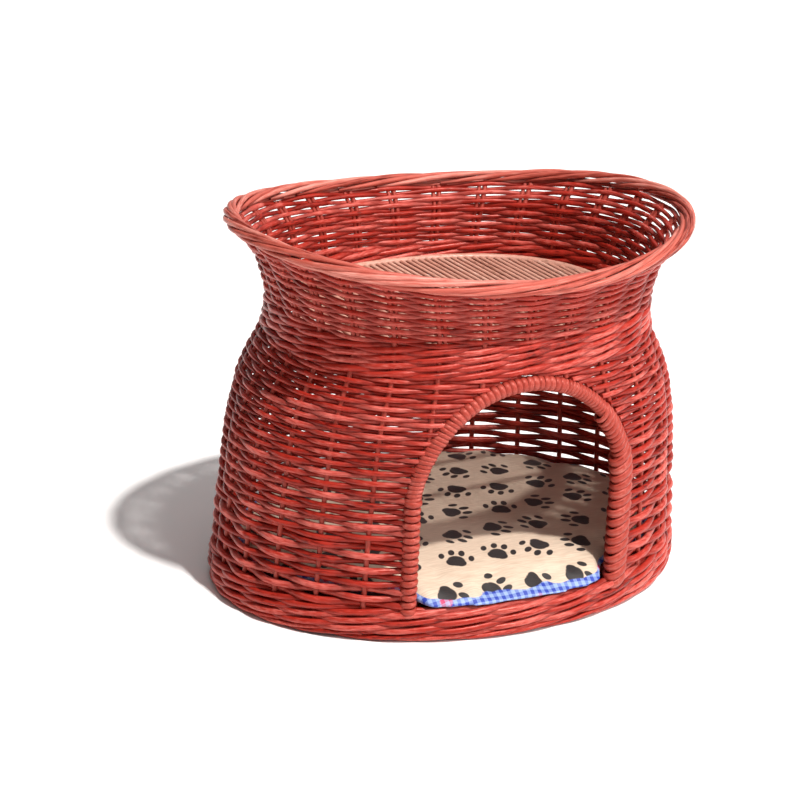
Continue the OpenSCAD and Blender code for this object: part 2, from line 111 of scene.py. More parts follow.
def square_to_wall(h, turn):
    """Direction square to the wall, which leans with it."""
    along = wall_point(h, turn + 0.002) - wall_point(h, turn - 0.002)
    up = wall_point(h + 1, turn) - wall_point(h - 1, turn)
    return along.cross(up).normalized()


print("waist half length", round(wall_point(WAIST, 0.25).x, 4))

# %% [markdown]
# ## The doorway
# The weavers stop at an arch: upright sides, and half an oval above them. The hoop's own box
# in the part says how wide and how high it is.

# %% Arch of the doorway
STAKES = 28
hoop_low, hoop_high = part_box("door_hoop")
HOOP_RADIUS = 4.5
WRAP_RADIUS = 7.5
SILL = 37
SPRING = 145
DOOR_SHIFT = (hoop_low.x + hoop_high.x)/2/MM
ARCH_HALF = (hoop_high.x - hoop_low.x)/2/MM - HOOP_RADIUS
ARCH_TOP = hoop_high.z/MM - HOOP_RADIUS


def gate(h, side):
    """Where the weave starts at height h, as a share of a turn from the front; side is 1 or -1."""
    if h < SILL or h > ARCH_TOP + WRAP_RADIUS:
        return 0.0
    up = max(0, h - SPRING)/(ARCH_TOP + WRAP_RADIUS - SPRING)
    cover = WRAP_RADIUS if side > 0 else 1
    reach = (ARCH_HALF + cover)*sqrt(max(0, 1 - up*up)) + side*DOOR_SHIFT
    return max(0, asin(reach/(through(h, LENGTHS)/2 - WALL_MIDDLE))/(2*pi))


def lintel(turn):
    """Height above which a stake stands at this turn: over the arch, or from the foot."""
    side, aside = (1, turn) if turn < 0.5 else (-1, 1 - turn)
    for h in range(int(ARCH_TOP + WRAP_RADIUS), SILL, -1):
        if gate(h, side) > aside:
            return h + 1
    return 0


def on_front(x, h):
    """Middle of the front wall at a given x and height."""
    a, b = through(h, LENGTHS)/2 - WALL_MIDDLE, through(h, DEPTHS)/2 - WALL_MIDDLE
    return Vector((x, -b*sqrt(1 - (x/a)**2), h))*MM


print("doorway", round(2*ARCH_HALF), "wide,", round(ARCH_TOP), "high, in millimetres")

# %% [markdown]
# ## A guide for the rods
# Geometry Nodes can place a point on a mesh by its UV. So the wall becomes one hidden sheet:
# U is the turn round the basket, V the height, and each vertex also carries the outward
# direction, the half gap of the doorway and the height where a stake may start. The rods then
# need only a turn and a height. The sheet is thrown away once they have grown.

# %% Guide sheet
GUIDE_TURNS = 280
GUIDE_LEVELS = 100
GUIDE_TOP = 400

columns = [c/GUIDE_TURNS for c in range(GUIDE_TURNS + 1)]
heights = [r*GUIDE_TOP/GUIDE_LEVELS for r in range(GUIDE_LEVELS + 1)]
guide_mesh = bpy.data.meshes.new("wall_guide")
wide = len(columns)
guide_mesh.from_pydata(
    [wall_point(h, turn) for h in heights for turn in columns], [],
    [(r*wide + c, r*wide + c + 1, (r + 1)*wide + c + 1, (r + 1)*wide + c)
     for r in range(GUIDE_LEVELS) for c in range(GUIDE_TURNS)])
guide_map = guide_mesh.uv_layers.new(name="wall_map")
for loop in guide_mesh.loops:
    row, column = divmod(loop.vertex_index, wide)
    guide_map.data[loop.index].uv = (columns[column], row/GUIDE_LEVELS)


def guide_values(name, kind, key, values):
    """Stores one value on each vertex of the guide."""
    layer = guide_mesh.attributes.new(name, kind, "POINT")
    for item, value in zip(layer.data, values):
        setattr(item, key, value)


lintels = [lintel(turn)*MM for turn in columns]
guide_values("outward", "FLOAT_VECTOR", "vector", [outward(h, u) for h in heights for u in columns])
guide_values("square", "FLOAT_VECTOR", "vector",
             [square_to_wall(h, u) for h in heights for u in columns])
for label, side in (("gate_right", 1), ("gate_left", -1)):
    gates = [gate(h, side) for h in heights]
    guide_values(label, "FLOAT", "value", [g for g in gates for u in columns])
guide_values("lintel", "FLOAT", "value", [v for h in heights for v in lintels])
guide = bpy.data.objects.new("wall_guide", guide_mesh)
bpy.context.scene.collection.objects.link(guide)
print("guide sheet with", len(guide_mesh.vertices), "points")

# %% [markdown]
# ## Helpers for node trees
# A tree is a list of nodes and links. put() adds a node and fills its inputs, either with a
# plain value or with another node's output, so a tree reads from top to bottom.

# %% Node helpers
def put(tree, kind, inputs=None, **settings):
    """Adds a node. inputs maps a socket's name or number to a value or an output socket."""
    node = tree.nodes.new(kind)
    for name, value in settings.items():
        setattr(node, name, value)
    for key, value in (inputs or {}).items():
        if isinstance(value, bpy.types.NodeSocket):
            tree.links.new(value, node.inputs[key])
        else:
            node.inputs[key].default_value = value
    return node


def calc(tree, operation, a, b=0.0, c=0.0):
    """One step of arithmetic."""
    return put(tree, "ShaderNodeMath", {0: a, 1: b, 2: c}, operation=operation).outputs[0]


def times(tree, a, b):
    """Product of two values."""
    return calc(tree, "MULTIPLY", a, b)


def plus(tree, a, b):
    """Sum of two values."""
    return calc(tree, "ADD", a, b)


def minus(tree, a, b):
    """One value less another."""
    return calc(tree, "SUBTRACT", a, b)


def times_plus(tree, a, b, c=0.0):
    """Product of two values, and a third added."""
    return calc(tree, "MULTIPLY_ADD", a, b, c)


def steady(tree, value):
    """The same value everywhere."""
    return plus(tree, value, 0.0)


def vec(tree, operation, a, b=(0, 0, 0), scale=1.0):
    """One step of vector arithmetic."""
    inputs = {0: a, 3: scale} if operation in ("SCALE", "LENGTH") else {0: a, 1: b}
    node = put(tree, "ShaderNodeVectorMath", inputs, operation=operation)
    return node.outputs["Value" if operation in ("LENGTH", "DOT_PRODUCT") else "Vector"]


def xyz(tree, x=0.0, y=0.0, z=0.0):
    """Vector from three numbers."""
    return put(tree, "ShaderNodeCombineXYZ", {0: x, 1: y, 2: z}).outputs[0]


def noise_at(tree, vector, scale, detail=2.0):
    """Smooth noise from 0 to 1."""
    node = put(tree, "ShaderNodeTexNoise", {"Vector": vector, "Scale": scale, "Detail": detail})
    return node.outputs[0]


def chance(tree, low, high, key, seed):
    """Number between low and high that depends on the key alone."""
    inputs = {2: low, 3: high, 7: key, 8: seed}
    return put(tree, "FunctionNodeRandomValue", inputs, data_type="FLOAT").outputs[1]


def new_tree(name, sockets):
    """Geometry Nodes tree with named inputs; returns the tree and its input node."""
    tree = bpy.data.node_groups.new(name, "GeometryNodeTree")
    kinds = {float: "NodeSocketFloat", int: "NodeSocketInt", bool: "NodeSocketBool",
             "object": "NodeSocketObject", "material": "NodeSocketMaterial"}
    for label, kind in sockets:
        tree.interface.new_socket(label, in_out="INPUT", socket_type=kinds[kind])
    tree.interface.new_socket("Geometry", in_out="OUTPUT", socket_type="NodeSocketGeometry")
    return tree, tree.nodes.new("NodeGroupInput").outputs


def on_guide(tree, wall, turn, height, what="position"):
    """Reads the guide sheet at a turn and a height in metres."""
    spot = xyz(tree, turn, calc(tree, "DIVIDE", height, GUIDE_TOP*MM))
    uv = put(tree, "GeometryNodeInputNamedAttribute", {"Name": "wall_map"}, data_type="FLOAT_VECTOR")
    kind = "FLOAT_VECTOR" if what in ("position", "outward", "square") else "FLOAT"
    if what == "position":
        value = put(tree, "GeometryNodeInputPosition").outputs[0]
    else:
        value = put(tree, "GeometryNodeInputNamedAttribute", {"Name": what}, data_type=kind).outputs[0]
    inputs = {"Mesh": wall, "Value": value, "UV Map": uv.outputs[0], "Sample UV": spot}
    return put(tree, "GeometryNodeSampleUVSurface", inputs, data_type=kind).outputs[0]


def keep(tree, geometry, name, value, domain="POINT"):
    """Stores a value on the geometry under a name that materials can read."""
    kind = "FLOAT_VECTOR" if value.type == "VECTOR" else "FLOAT"
    inputs = {"Geometry": geometry, "Name": name, "Value": value}
    return put(tree, "GeometryNodeStoreNamedAttribute", inputs, data_type=kind,
               domain=domain).outputs[0]


def named(tree, name, kind="FLOAT"):
    """Value stored earlier under a name."""
    return put(tree, "GeometryNodeInputNamedAttribute", {"Name": name}, data_type=kind).outputs[0]


def geometry_of(tree, piece):
    """Shape of another object."""
    return put(tree, "GeometryNodeObjectInfo", {"Object": piece}).outputs["Geometry"]


def first_axis(tree, vector):
    """X of a vector."""
    return put(tree, "ShaderNodeSeparateXYZ", {0: vector}).outputs[0]


def line_copies(tree, steps, count):
    """Copies of a line one unit long: the curves, each copy's number, and how far along a point is."""
    ends = {"Start": (0, 0, 0), "End": (1, 0, 0)}
    line = put(tree, "GeometryNodeCurvePrimitiveLine", ends).outputs[0]
    line = put(tree, "GeometryNodeResampleCurve", {"Curve": line, "Count": steps}).outputs[0]
    made = put(tree, "GeometryNodeDuplicateElements", {"Geometry": line, "Amount": count},
               domain="SPLINE")
    share = first_axis(tree, put(tree, "GeometryNodeInputPosition").outputs[0])
    return made.outputs[0], made.outputs["Duplicate Index"], share


def bend_to(tree, curves, places):
    """Moves the points of curves to new places."""
    inputs = {"Geometry": curves, "Position": places}
    return put(tree, "GeometryNodeSetPosition", inputs).outputs[0]


def round_profile(tree, sides, wide=1.0, high=1.0):
    """Rod's cross-section, one unit in radius, which remembers where each side points."""
    circle = {"Resolution": sides, "Radius": 1.0}
    ring = put(tree, "GeometryNodeCurvePrimitiveCircle", circle).outputs[0]
    place = put(tree, "GeometryNodeInputPosition").outputs[0]
    ring = keep(tree, ring, "round", place)
    squeeze = {"Geometry": ring, "Scale": xyz(tree, wide, high, 1.0)}
    return put(tree, "GeometryNodeTransform", squeeze).outputs[0]


def close_tree(tree, curve, profile, radius, material):
    """Turns curves into rods, makes them real, and gives them their material."""
    inputs = {"Curve": curve, "Profile Curve": profile, "Scale": radius, "Fill Caps": True}
    rods = put(tree, "GeometryNodeCurveToMesh", inputs).outputs[0]
    finish_tree(tree, rods, material)


def finish_tree(tree, geometry, material):
    """Ends a tree: realized, smooth, with its material."""
    real = put(tree, "GeometryNodeRealizeInstances", {"Geometry": geometry}).outputs[0]
    smooth = put(tree, "GeometryNodeSetShadeSmooth", {"Geometry": real}).outputs[0]
    inputs = {"Geometry": smooth, "Material": material}
    dressed = put(tree, "GeometryNodeSetMaterial", inputs).outputs[0]
    put(tree, "NodeGroupOutput", {0: dressed})


def grow(tree, name, nodes, material, sizes, body="basket"):
    """Runs a tree, keeps its result as a plain mesh, and hides the CAD nodes it stands for."""
    piece = bpy.data.objects.new(name, bpy.data.meshes.new(name))
    bpy.context.scene.collection.objects.link(piece)
    modifier = piece.modifiers.new("grow", "NODES")
    modifier.node_group = tree
    values = dict(sizes, Material=material)
    for item in tree.interface.items_tree:
        if item.in_out == "INPUT" and item.name in values:
            modifier[item.identifier] = values.pop(item.name)
    assert not values, values
    evaluated = piece.evaluated_get(bpy.context.evaluated_depsgraph_get())
    mesh = bpy.data.meshes.new_from_object(evaluated)
    piece.modifiers.remove(modifier)
    piece.data = mesh
    mesh.name = name
    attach(piece, body)
    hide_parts(*nodes)
    print(name, "has", sum(len(p.vertices) - 2 for p in mesh.polygons), "triangles")
    return piece


# %% [markdown]
# ## Dyed willow
# Peeled willow soaks up dye unevenly: each rod has its own tone, and long fine streaks run along
# it. Where a rod dives behind a stake its colour is also pulled darker: that darkening is painted
# shade. The rods store their own numbers for this: run is the distance along the rod, round the
# side of it, dye one random number for each rod, and one more number is 0 where the rod is
# hidden and takes the full painted shade. One shader group turns these into colour, roughness
# and grain, and both the dyed and the bare wood use it.

# %% Willow grain group
grain = bpy.data.node_groups.new("Willow grain", "ShaderNodeTree")
for label, kind in (("Dark", "Color"), ("Middle", "Color"), ("Light", "Color"),
                    ("Streak length", "Float"), ("Rod variation", "Float"), ("Tuck shade", "Float"),
                    ("Smoothest", "Float"), ("Roughest", "Float")):
    grain.interface.new_socket(label, in_out="INPUT", socket_type="NodeSocket" + kind)
for label, kind in (("Color", "Color"), ("Roughness", "Float"), ("Height", "Float")):
    grain.interface.new_socket(label, in_out="OUTPUT", socket_type="NodeSocket" + kind)
given = grain.nodes.new("NodeGroupInput").outputs


def attribute(tree, name, output="Fac"):
    """Reads a number or vector that the rods carry."""
    return put(tree, "ShaderNodeAttribute", attribute_name=name).outputs[output]


side = put(grain, "ShaderNodeSeparateXYZ", {0: attribute(grain, "round", "Vector")}).outputs
run = attribute(grain, "run")
dye = attribute(grain, "dye")
along = calc(grain, "DIVIDE", run, given["Streak length"])
spot = xyz(grain, along, side[0], side[1])
STREAKS_ACROSS, FIBRES_ACROSS = 2.2, 9.0
streaks = noise_at(grain, spot, STREAKS_ACROSS, 5.0)
long_spot = xyz(grain, times(grain, along, 0.5), side[0], side[1])
fibres = noise_at(grain, long_spot, FIBRES_ACROSS, 3.0)
blotch_spot = xyz(grain, times(grain, along, 2.0), times(grain, dye, 40.0))
blotches = noise_at(grain, blotch_spot, 1.0, 3.0)


def blend(tree, factor, a, b):
    """Colour between two others."""
    return put(tree, "ShaderNodeMix", {0: factor, 6: a, 7: b}, data_type="RGBA").outputs[2]


def span(tree, value, low, high, to_low=0.0, to_high=1.0):
    """Carries a value smoothly from one range to another."""
    inputs = {0: value, 1: low, 2: high, 3: to_low, 4: to_high}
    return put(tree, "ShaderNodeMapRange", inputs, interpolation_type="SMOOTHSTEP").outputs[0]


shade = times_plus(grain, minus(grain, dye, 0.5), given["Rod variation"], streaks)
BLOTCH_WEIGHT = 0.3
DARK_TO_MIDDLE, MIDDLE_TO_LIGHT = (0.1, 0.42), (0.46, 0.92)
shade = times_plus(grain, minus(grain, blotches, 0.5), BLOTCH_WEIGHT, shade)
lower = blend(grain, span(grain, shade, *DARK_TO_MIDDLE), given["Dark"], given["Middle"])
upper = blend(grain, span(grain, shade, *MIDDLE_TO_LIGHT), lower, given["Light"])
# Painted shade: where a rod is hidden behind a stake its colour is pulled towards Dark, standing in for
# the shade that falls there.
painted_shade_amount = span(grain, attribute(grain, "tuck"), 0.0, 1.0, 1.0, 0.0)
painted_shade_amount = times(grain, painted_shade_amount, given["Tuck shade"])
with_painted_shade = blend(grain, painted_shade_amount, upper, given["Dark"])
rough = span(grain, fibres, 0.3, 0.7, given["Smoothest"], given["Roughest"])
height = times_plus(grain, fibres, 0.5, streaks)
put(grain, "NodeGroupOutput", {0: with_painted_shade, 1: rough, 2: height})
print("willow grain group has", len(grain.nodes), "nodes")


# %% Wood materials that use the group
GRAIN_DEPTH = 0.0006
DYED_SHINE = (1.0, 0.43, 0.38)
BARE_SHINE = (1.0, 0.9, 0.85)
SHINE = 0.65


def wood(name, dark, middle, light, streak=0.02, variation=0.5, tuck=0.7, smooth=0.3, rough=0.5,
         tint=DYED_SHINE, bump=0.25):
    """Wood in three tones, with grain along each rod and painted shade where a rod is hidden."""
    material = bpy.data.materials.new(name)
    material.use_nodes = True
    tree = material.node_tree
    shader = tree.nodes["Principled BSDF"]
    group = put(tree, "ShaderNodeGroup", node_tree=grain)
    values = (dark, middle, light, streak, variation, tuck, smooth, rough)
    for socket, value in zip(group.inputs, values):
        socket.default_value = (*value, 1.0) if isinstance(value, tuple) else value
    relief = {"Height": group.outputs["Height"], "Strength": bump, "Distance": GRAIN_DEPTH}
    ridges = put(tree, "ShaderNodeBump", relief)
    tree.links.new(group.outputs["Color"], shader.inputs["Base Color"])
    tree.links.new(group.outputs["Roughness"], shader.inputs["Roughness"])
    tree.links.new(ridges.outputs[0], shader.inputs["Normal"])
    shader.inputs["Specular IOR Level"].default_value = SHINE
    shader.inputs["Specular Tint"].default_value = (*tint, 1.0)
    return material


# Each wood also says how far its colour is pulled to Dark as painted shade where a rod is hidden.
red_willow = wood("red_willow", dark=(0.10, 0.002, 0.001), middle=(0.38, 0.022, 0.012),
                  light=(0.66, 0.15, 0.12), variation=0.5, tuck=0.5, rough=0.42)
rim_willow = wood("rim_willow", dark=(0.15, 0.010, 0.005), middle=(0.50, 0.10, 0.07),
                  light=(0.76, 0.31, 0.25), streak=0.035, variation=0.6)
hoop_willow = wood("hoop_willow", dark=(0.13, 0.006, 0.003), middle=(0.36, 0.045, 0.030),
                   light=(0.62, 0.19, 0.15), variation=0.15)
bare_wood = wood("bare_wood", dark=(0.26, 0.10, 0.06), middle=(0.62, 0.31, 0.23),
                 light=(0.82, 0.54, 0.43), variation=0.3, tuck=0.5, smooth=0.35, rough=0.6,
                 tint=BARE_SHINE)
print("woods:", red_willow.name, rim_willow.name, bare_wood.name)

# %% [markdown]
# ## Weavers
# A weaver is one wave round the wall: out in front of a stake, in behind the next. Rows of
# plain weave are the same wave, half a wave apart. In waling three strands share a row, a
# third of a wave apart, and roll over each other like a rope. So one tree makes every band:
# it copies a straight line once for each strand, bends each copy on to the guide, and sweeps
# a round section along it. Rods are short, so every few stakes a new one starts, thick end
# first, with its own shade. A row by the doorway starts and ends at the hoop.

# %% Tree for the weavers
weavers, w = new_tree("Weavers", [
    ("Wall", "object"), ("Strands", int), ("Strands in a row", int), ("First level", float),
    ("Pitch", float), ("Rod radius", float), ("Reach", float), ("Lift", float), ("Bias", float),
    ("Waves", float), ("Steps", int), ("Unevenness", float), ("Rod length", float),
    ("Taper", float), ("Doorway", bool), ("Seed", int), ("Material", "material")])
wall = geometry_of(weavers, w["Wall"])
copies, strand, share = line_copies(weavers, w["Steps"], w["Strands"])
row = calc(weavers, "FLOOR", calc(weavers, "DIVIDE", strand, w["Strands in a row"]))
height = times_plus(weavers, plus(weavers, row, 0.5), w["Pitch"], w["First level"])
first = on_guide(weavers, wall, 0.5, height, "gate_right")
last = minus(weavers, 1.0, on_guide(weavers, wall, 0.5, height, "gate_left"))
open_turn = times_plus(weavers, share, minus(weavers, last, first), first)
ring_turn = calc(weavers, "FRACT", plus(weavers, share, 0.5))
turns = {"Switch": w["Doorway"], "False": ring_turn, "True": open_turn}
turn = put(weavers, "GeometryNodeSwitch", turns, input_type="FLOAT").outputs[0]
luck = chance(weavers, 0.0, 1.0, strand, w["Seed"])
wander = xyz(weavers, times(weavers, turn, 30.0), times(weavers, strand, 3.7), w["Seed"])
sway = minus(weavers, noise_at(weavers, wander, 1.0), 0.5)
bulge = minus(weavers, noise_at(weavers, vec(weavers, "ADD", wander, (9, 5, 3)), 1.6), 0.5)
in_row = calc(weavers, "DIVIDE", strand, calc(weavers, "MAXIMUM", w["Strands in a row"], 2.0))
wave = times(weavers, times_plus(weavers, turn, w["Waves"], in_row), 2*pi)
swing = calc(weavers, "COSINE", wave)
out = times_plus(weavers, swing, w["Reach"], w["Bias"])
out = times_plus(weavers, bulge, w["Unevenness"], out)
rise = times_plus(weavers, calc(weavers, "SINE", wave), w["Lift"], height)
rise = times_plus(weavers, sway, w["Unevenness"], rise)
place = on_guide(weavers, wall, turn, rise)
away = vec(weavers, "NORMALIZE", on_guide(weavers, wall, turn, rise, "square"))
place = vec(weavers, "ADD", place, vec(weavers, "SCALE", away, scale=out))
rods_run = times_plus(weavers, turn, calc(weavers, "DIVIDE", float(STAKES), w["Rod length"]),
                times(weavers, luck, 7.0))
rod = calc(weavers, "FLOOR", rods_run)
worn = minus(weavers, 0.5, calc(weavers, "FRACT", rods_run))
key = times_plus(weavers, strand, 97.0, rod)
thick = times_plus(weavers, worn, w["Taper"], chance(weavers, 0.93, 1.04, key, w["Seed"]))
curves = keep(weavers, copies, "thick", thick)
curves = keep(weavers, curves, "dye", chance(weavers, 0.0, 1.0, key, plus(weavers, w["Seed"], 5.0)))
curves = keep(weavers, curves, "run", times_plus(weavers, turn, 1.4, times(weavers, strand, 1.7)))
# Painted shade: 0 where the rod crosses the wall to dive behind a stake, 1 where it lies furthest in or
# out.
curves = keep(weavers, curves, "tuck", calc(weavers, "ABSOLUTE", swing))
curves = bend_to(weavers, curves, place)
radius = times(weavers, named(weavers, "thick"), w["Rod radius"])
close_tree(weavers, curves, round_profile(weavers, 8), radius, w["Material"])
print("weaver tree has", len(weavers.nodes), "nodes")


# %% Bands of weave from foot to rim
STAKE_RADIUS = 2.9
STEPS_A_STAKE = 8


def weave(name, node, low, high, rows, rod_radius, reach, uneven, seed, strands=1,
          waves=STAKES/2, lift=0.0, doorway=False):
    """One band of woven rods between two heights; sizes in millimetres."""
    pitch = (high - low)/rows
    return grow(weavers, name, [node], red_willow, {
        "Wall": guide, "Strands": rows*strands, "Strands in a row": strands,
        "First level": low*MM, "Pitch": pitch*MM, "Rod radius": rod_radius*MM,
        "Reach": reach*MM, "Lift": lift*MM, "Bias": 0.0, "Waves": waves,
        "Steps": STAKES*STEPS_A_STAKE + 1, "Unevenness": uneven*MM, "Rod length": 5.0,
        "Taper": 0.22, "Doorway": doorway, "Seed": seed})


weave("foot_rows", "foot_waling", 10, 37, rows=3, rod_radius=3.6, reach=4.6, uneven=1.6,
      seed=3, strands=3, waves=9.0, lift=2.8)
weave("lower_rows", "cave_weave_lower", 37, 108, rows=9, rod_radius=3.8, reach=3.8,
      uneven=2.4, seed=11, doorway=True)
weave("middle_rows", "cave_weave_middle", 108, 191, rows=14, rod_radius=3.15, reach=3.3,
      uneven=1.8, seed=12, doorway=True)
weave("upper_rows", "cave_weave_upper", 191, 284, rows=20, rod_radius=2.7, reach=2.9,
      uneven=1.6, seed=13, doorway=True)
weave("waist_rows", "waist_waling", 284, 319, rows=4, rod_radius=3.5, reach=3.6, uneven=1.6,
      seed=14, strands=3, waves=9.0, lift=2.6)
weave("tray_rows", "tray_weave", 319, 391, rows=16, rod_radius=2.75, reach=2.8, uneven=1.8,
      seed=15)

# %% [markdown]
# ## Stakes
# The stakes are the upright rods that the weavers go round. They follow the wall from the
# foot to the rim, or from the doorway's arch where that is in the way. The tray wall has a
# second stake beside each one, so that it stays stiff while it flares.

# %% Tree for the stakes
uprights, g = new_tree("Stakes", [
    ("Wall", "object"), ("Count", int), ("Shift", float), ("Bottom", float), ("Top", float),
    ("Rod radius", float), ("Steps", int), ("Seed", int), ("Material", "material")])
wall = geometry_of(uprights, g["Wall"])
copies, number, share = line_copies(uprights, g["Steps"], g["Count"])
turn = calc(uprights, "FRACT", calc(uprights, "DIVIDE", plus(uprights, number, g["Shift"]), g["Count"]))
start = calc(uprights, "MAXIMUM", on_guide(uprights, wall, turn, 0.1, "lintel"), g["Bottom"])
length = minus(uprights, g["Top"], start)
height = times_plus(uprights, share, length, start)
wander = xyz(uprights, times(uprights, height, 20.0), times(uprights, number, 5.3), g["Seed"])
lean = times(uprights, minus(uprights, noise_at(uprights, wander, 1.0), 0.5), 0.002)
turn = calc(uprights, "FRACT", plus(uprights, turn, plus(uprights, lean, 1.0)))
curves = keep(uprights, copies, "dye", chance(uprights, 0.0, 0.8, number, g["Seed"]))
curves = keep(uprights, curves, "run", times_plus(uprights, number, 0.9, height))
# Painted shade: a steady small share, as the stakes lie partly behind the weavers.
curves = keep(uprights, curves, "tuck", steady(uprights, 0.75))
curves = bend_to(uprights, curves, on_guide(uprights, wall, turn, height))
close_tree(uprights, curves, round_profile(uprights, 8), g["Rod radius"], g["Material"])


def stand(name, nodes, shift, bottom, radius, seed):
    """Stakes all round the wall; sizes in millimetres, the shift as a share of their spacing."""
    return grow(uprights, name, nodes, hoop_willow, {
        "Wall": guide, "Count": STAKES, "Shift": shift, "Bottom": bottom*MM,
        "Top": WEAVE_TOP*MM, "Rod radius": radius*MM, "Steps": 40, "Seed": seed})


STAKE_NODES = ["left_stakes", "right_stakes", "back_stakes", "arch_stakes"]
stand("stake_rods", STAKE_NODES, shift=0.0, bottom=6, radius=STAKE_RADIUS, seed=21)
stand("bye_stake_rods", ["bye_stakes"], shift=0.12, bottom=322, radius=2.3, seed=22)

# %% [markdown]
# ## Plaited borders
# Above the last row the stakes bend over and are plaited into the rim, and the foot ends in
# the same way. Each strand travels past several stakes while it rolls once round the middle
# of the border, so at any place several strands lie side by side, nearly parallel to the rim.

# %% Tree for the borders
plait, b = new_tree("Border plait", [
    ("Wall", "object"), ("Count", int), ("Span", float), ("Level", float), ("Inset", float),
    ("Drop", float), ("First angle", float), ("Roll", float), ("Wide", float), ("High", float),
    ("Strand radius", float), ("Steps", int), ("Seed", int), ("Material", "material")])
wall = geometry_of(plait, b["Wall"])
copies, number, share = line_copies(plait, b["Steps"], b["Count"])
luck = chance(plait, -0.25, 0.25, number, b["Seed"])
ahead = times_plus(plait, share, b["Span"], plus(plait, number, luck))
turn = calc(plait, "FRACT", plus(plait, calc(plait, "DIVIDE", ahead, b["Count"]), 1.0))
centre = on_guide(plait, wall, turn, b["Level"])
away = vec(plait, "NORMALIZE", on_guide(plait, wall, turn, b["Level"], "outward"))
angle = times_plus(plait, share, b["Roll"], b["First angle"])
wander = xyz(plait, times(plait, share, 4.0), times(plait, number, 3.1), b["Seed"])
loose = times_plus(plait, noise_at(plait, wander, 1.0), 0.5, 0.75)
out = times(plait, times(plait, calc(plait, "COSINE", angle), b["Wide"]), loose)
out = minus(plait, out, b["Inset"])
up = times(plait, times(plait, calc(plait, "SINE", angle), b["High"]), loose)
up = minus(plait, up, b["Drop"])
place = vec(plait, "ADD", centre, vec(plait, "SCALE", away, scale=out))
place = vec(plait, "ADD", place, xyz(plait, 0.0, 0.0, up))
ends = times(plait, minus(plait, 1.0, share), share)
thick = span(plait, ends, 0.0, 0.14, 0.55, 1.0)
curves = keep(plait, copies, "thick", times(plait, thick, b["Strand radius"]))
curves = keep(plait, curves, "dye", chance(plait, 0.0, 1.0, number, plus(plait, b["Seed"], 3.0)))
curves = keep(plait, curves, "run", times_plus(plait, share, 0.25, times(plait, number, 1.3)))
# Painted shade at the strand ends, where they tuck into the plait.
curves = keep(plait, curves, "tuck", span(plait, ends, 0.0, 0.1, 0.2, 1.0))
curves = bend_to(plait, curves, place)
close_tree(plait, curves, round_profile(plait, 10), named(plait, "thick"), b["Material"])


BORDER_START = -2.4


def border(name, node, material, level_at, inset, drop, stakes_passed, roll, wide, high, radius,
           seed):
    """Plaited border; sizes in millimetres, angles in radians."""
    return grow(plait, name, [node], material, {
        "Wall": guide, "Count": STAKES, "Span": stakes_passed, "Level": level_at*MM,
        "Inset": inset*MM, "Drop": drop*MM, "First angle": BORDER_START, "Roll": roll,
        "Wide": wide*MM, "High": high*MM, "Strand radius": radius*MM, "Steps": 56, "Seed": seed})


border("rim_plait", "rim_border", rim_willow, RIM_HEIGHT, inset=1.0, drop=0.0,
       stakes_passed=6.2, roll=6.1, wide=6.1, high=5.8, radius=2.75, seed=31)
border("foot_plait", "foot_border", red_willow, 6, inset=0.5, drop=-0.4,
       stakes_passed=3.4, roll=5.2, wide=3.9, high=3.2, radius=2.4, seed=32)

# %% [markdown]
# ## The hoop round the doorway
# A thick rod is bent into an arch, and strands are bound round it. Over the crown they are
# flat and tight, like a lashing. At the sides the weavers turn round the hoop: thin ones at
# the left, and fat loops at the right that make a rope-like column. The hoop is one swept
# curve; the loops are one small ring, copied along it at its own spacing and slant.

# %% Path of the hoop
POST_POINTS = 14
ARCH_POINTS = 60
posts = [SILL - 4 + (SPRING - SILL + 4)*i/POST_POINTS for i in range(POST_POINTS)]
path = [on_front(DOOR_SHIFT + ARCH_HALF, h) for h in posts]
for i in range(ARCH_POINTS + 1):
    angle = pi*i/ARCH_POINTS
    path.append(on_front(DOOR_SHIFT + ARCH_HALF*cos(angle), SPRING + (ARCH_TOP - SPRING)*sin(angle)))
path += [on_front(DOOR_SHIFT - ARCH_HALF, h) for h in reversed(posts)]
hoop_curve = bpy.data.curves.new("hoop_path", "CURVE")
hoop_curve.dimensions = "3D"
spline = hoop_curve.splines.new("POLY")
spline.points.add(len(path) - 1)
for point, place in zip(spline.points, path):
    point.co = (*place, 1.0)
hoop_path = bpy.data.objects.new("hoop_path", hoop_curve)
bpy.context.scene.collection.objects.link(hoop_path)
print("hoop path of", len(path), "points")

# %% Tree for the hoop itself
hooped, d = new_tree("Door hoop", [("Path", "object"), ("Rod radius", float), ("Material", "material")])
bend = geometry_of(hooped, d["Path"])
share = put(hooped, "GeometryNodeSplineParameter").outputs[0]
# The hoop takes a steady small share of the painted shade.
for label, value in (("run", times(hooped, share, 0.6)), ("dye", steady(hooped, 0.0)),
                     ("tuck", steady(hooped, 0.8))):
    bend = keep(hooped, bend, label, value)
close_tree(hooped, bend, round_profile(hooped, 14), d["Rod radius"], d["Material"])
grow(hooped, "hoop_rod", ["door_hoop"], red_willow,
     {"Path": hoop_path, "Rod radius": HOOP_RADIUS*MM})

